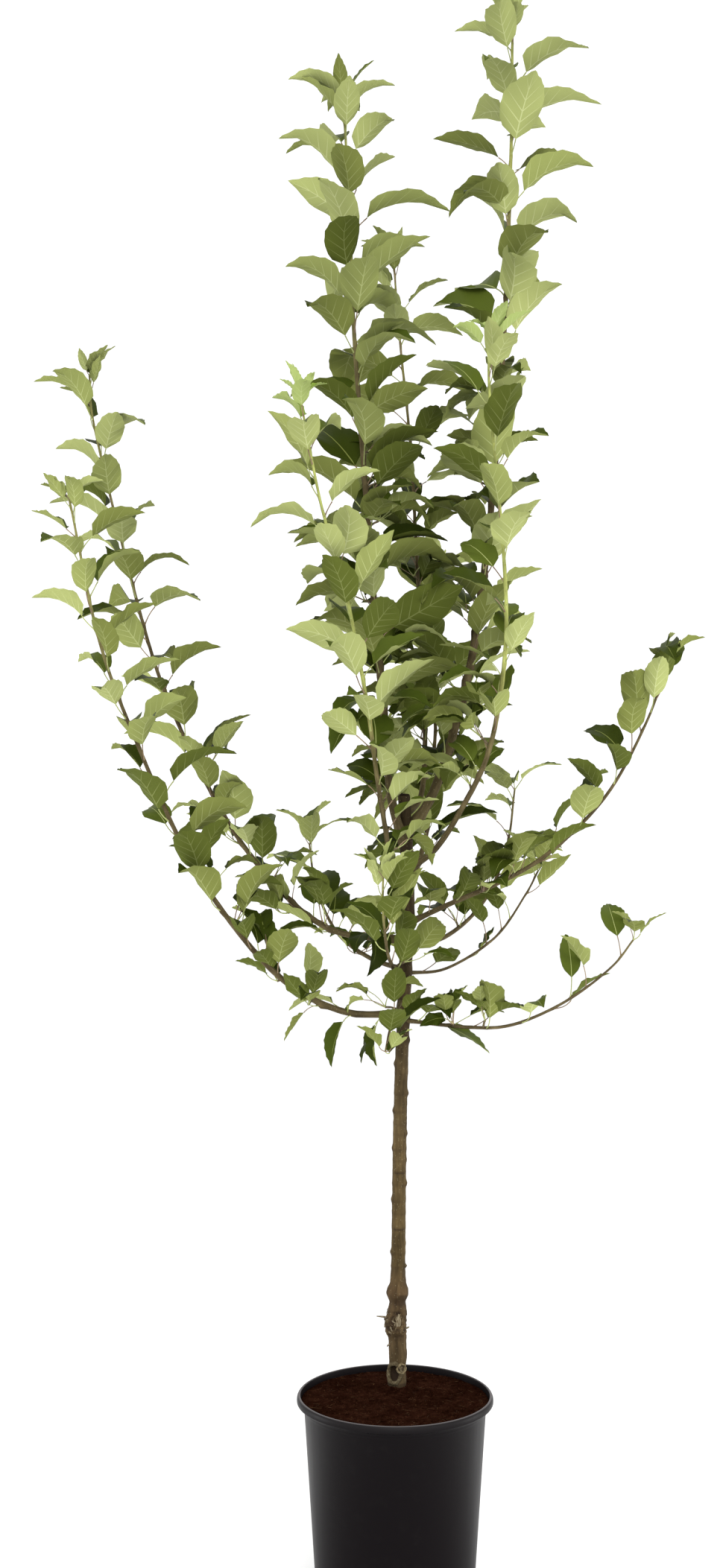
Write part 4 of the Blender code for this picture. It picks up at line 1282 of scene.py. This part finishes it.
def spray_spans(limb, course):
    """The lengths of limb that its sprays dress, from the first leaf to the tip."""
    first = limb.leafy * course.length
    count = max(1, round((course.length - first) / SPRAY))
    edges = np.linspace(first, course.length, count + 1)
    return list(zip(edges[:-1].tolist(), edges[1:].tolist()))


def grow_stem_leaves(dice, limb, course, first, last):
    """Leaves in a spiral up the limb, smaller towards its tip, and the (share, side) of each one's bud."""
    fresh, grown = limb.tip_green > 0.9, limb.tip_green < 0.55
    leaves, buds = [], []
    turn = dice.uniform(0, FULL_TURN)
    gone = first + limb.pace * dice.uniform(0.1, 0.9)
    while gone < min(last, course.length - 0.004):
        share = gone / course.length
        heading = course.heading(share)
        lean = math.hypot(heading.x, heading.y)
        away = squared(outwards(heading, turn) + UP * 0.75 * lean, heading)
        young = 0.0 if grown else max(0.0, 1 - (course.length - gone) / YOUNG_LENGTH)
        size = limb.blade * (0.80 + 0.20 * min(1, (share - limb.leafy) / 0.25)) * (1 - 0.50 * young)
        foot = course.at(share) + away * limb_radius(limb, share) * 0.7
        upright = 1 - min(1.0, max(0.0, (lean - 0.3) / 0.4))
        # Painted shade: the leaves' tints darken towards the limb's foot, more on limbs with more shade.
        light = 0.92 - limb.shade * (1.5 - share) + (0.4 * young if fresh else 0)
        leaves.append(grow_leaf(dice, foot, heading, away, size, light, young,
                                62 - 20 * upright + 16 * young, 60 + 8 * upright))
        buds.append((share, away))
        turn += SPIRAL + dice.normal(0, 0.16)
        gone += limb.pace * float(dice.uniform(0.75, 1.25)) * (1 - 0.55 * young)
    return leaves, buds


def grow_spurs(dice, limb, course, first, last):
    """Short spurs on the older wood with a rosette of leaves each: the leaves, and the spurs' runs."""
    leaves, twigs = [], []
    old_wood = (0.55 if limb.name.startswith("leader") else 0.42) * course.length
    gone = first + dice.uniform(0.0, 0.03)
    while gone < min(last, old_wood):
        share = gone / course.length
        heading = course.heading(share)
        turn = dice.uniform(0, FULL_TURN)
        away = squared(outwards(heading, turn) + UP * 0.5, heading)
        foot = course.at(share) + away * limb_radius(limb, share) * 0.5
        end = foot + (away * 0.8 + heading * 0.4).normalized() * dice.uniform(0.006, 0.020)
        twigs.append(([foot, foot.lerp(end, 0.5) + UP * 0.001, end], (0.0016, 0.0015, 0.0017)))
        for i in range(int(dice.integers(2, 5))):
            out = (outwards(heading, turn + i * SPIRAL) + away * 0.5).normalized()
            size, rise = limb.blade * dice.uniform(0.55, 0.88), dice.uniform(15, 60)
            along = (away + UP * 0.6).normalized()
            leaves.append(grow_leaf(dice, end, along, out, size, 0.5 - 0.5 * limb.shade, 0.0, rise, 80))
        gone += dice.uniform(0.045, 0.080)
    return leaves, twigs


def grow_tip(dice, limb, course):
    """The last few leaves, all at the limb's tip."""
    fresh, grown = limb.tip_green > 0.9, limb.tip_green < 0.55
    light, small, large = (1.1, 0.34, 0.58) if fresh else (0.6, 0.75, 0.95) if grown else (0.85, 0.48, 0.74)
    tip, heading = course.at(1), course.heading(1)
    leaves = []
    turn = dice.uniform(0, FULL_TURN)
    for _ in range(3 if grown else 4):
        size = limb.blade * dice.uniform(small, large)
        away = outwards(heading, turn)
        leaves.append(grow_leaf(dice, tip, heading, away, size, light, float(not grown), 62, 72, STALK * 0.6))
        turn += SPIRAL
    return leaves


def single_leaves(limb, course, number):
    """The limb's single leaves, and the (share, side) of the bud under each one."""
    dice = np.random.default_rng([number, 99])
    steps = 400
    places = [(i / steps, course.at(i / steps)) for i in range(steps + 1)]
    leaves, buds = [], []
    for limb_name, x, z, azimuth, rise, size, arch, light in SINGLES:
        if limb_name != limb.name:
            continue
        share, _ = min(places, key=lambda place: math.hypot(place[1].x - x, place[1].z - z))
        out = side_of(azimuth)
        away = (out + UP * math.copysign(0.6, rise)).normalized()
        foot = course.at(share) + away * limb_radius(limb, share) * 0.7
        leaves.append(grow_leaf(dice, foot, away, out, size, light, 0.0, rise, arch))
        buds.append((share, away))
    return leaves, buds


def dress_limb(limb, course, number):
    """All the limb's leaves, the (share, side) of each bud under them, and its spurs' runs."""
    leaves, buds = single_leaves(limb, course, number)
    twigs = []
    spans = spray_spans(limb, course)
    for spray, (first, last) in enumerate(spans):
        dice = np.random.default_rng([number, spray, SEEDS[limb.name][spray]])
        on_stem, more_buds = grow_stem_leaves(dice, limb, course, first, last)
        on_spurs, more_twigs = grow_spurs(dice, limb, course, first, last)
        leaves += on_stem + on_spurs
        buds += more_buds
        twigs += more_twigs
        if spray == len(spans) - 1:
            leaves += grow_tip(dice, limb, course)
    return leaves, buds, twigs


def build_crown():
    pattern = leaf_pattern()
    finishes = leaf_finishes()
    every_leaf, every_twig = [], []
    bark = None
    for number, limb in enumerate(LIMBS):
        course = Course(limb.route)
        leaves, buds, twigs = dress_limb(limb, course, number)
        every_leaf += leaves
        every_twig += twigs
        wood = build_limb(limb, course, buds)
        if bark is None:
            bark_finish(wood, "limb_bark", LIMB_BARK, 260)
            bark = wood.data.materials[0]
        else:
            wood.data.materials.append(bark)
        short = limb.name.removeprefix("bough_")
        made = copies(f"leaves_{short}", pattern, spread_leaves(leaves, pattern.points),
                      [len(LEAF_SIDES) * leaf.tint for leaf in leaves])
        for finish in finishes:
            made.data.materials.append(finish)
        smooth(made, 62)
        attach(made, "root")
        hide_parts(*(f"foliage_{short}_{n + 1}" for n in range(limb.masses)))
    build_stalks("leaf_stalks_green", [leaf for leaf in every_leaf if not leaf.rosy])
    build_stalks("leaf_stalks_rosy", [leaf for leaf in every_leaf if leaf.rosy])
    build_twigs(every_twig)


def build_stalks(name, leaves):
    """A curved stalk for each leaf, from the wood to the blade's base, thicker at both ends."""
    runs = []
    for leaf in leaves:
        reach = (leaf.base - leaf.foot).length
        first, last = leaf.foot + leaf.start * reach * 0.4, leaf.base - leaf.along * reach * 0.4
        points = []
        for t, _ in STALK_RUN:
            points.append(leaf.foot * (1 - t) ** 3 + first * 3 * t * (1 - t) ** 2 + last * 3 * t * t * (1 - t)
                          + leaf.base * t**3)
        grade = 0.55 + 0.45 * leaf.length / LEAF_LENGTH
        runs.append((points, [size * grade for _, size in STALK_RUN]))
    made = tubes(name, runs, 6)
    smooth(made, 70)
    low, high = STALK_TONES[name]
    finish = speckled(made, name, low, 0.6, 0.15, 45, ((0.35, low), (0.65, high)), Detail=2.0)
    finish.bumps((finish.noise(900, Detail=2.0), 0.2, 0.0002))
    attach(made, "root")


def build_twigs(runs):
    made = tubes("spur_twigs", runs, 6)
    smooth(made, 70)
    speckled(made, "spur_bark", (0.11, 0.085, 0.045), 0.85, 0.15, 300,
             ((0.35, (0.060, 0.044, 0.026)), (0.65, (0.19, 0.155, 0.085))), (0.7, 0.0008), Detail=4.0)
    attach(made, "root")


build_camera()
build_studio()
build_pot()
build_soil()
build_crumbs()
build_trunk()
build_crown()
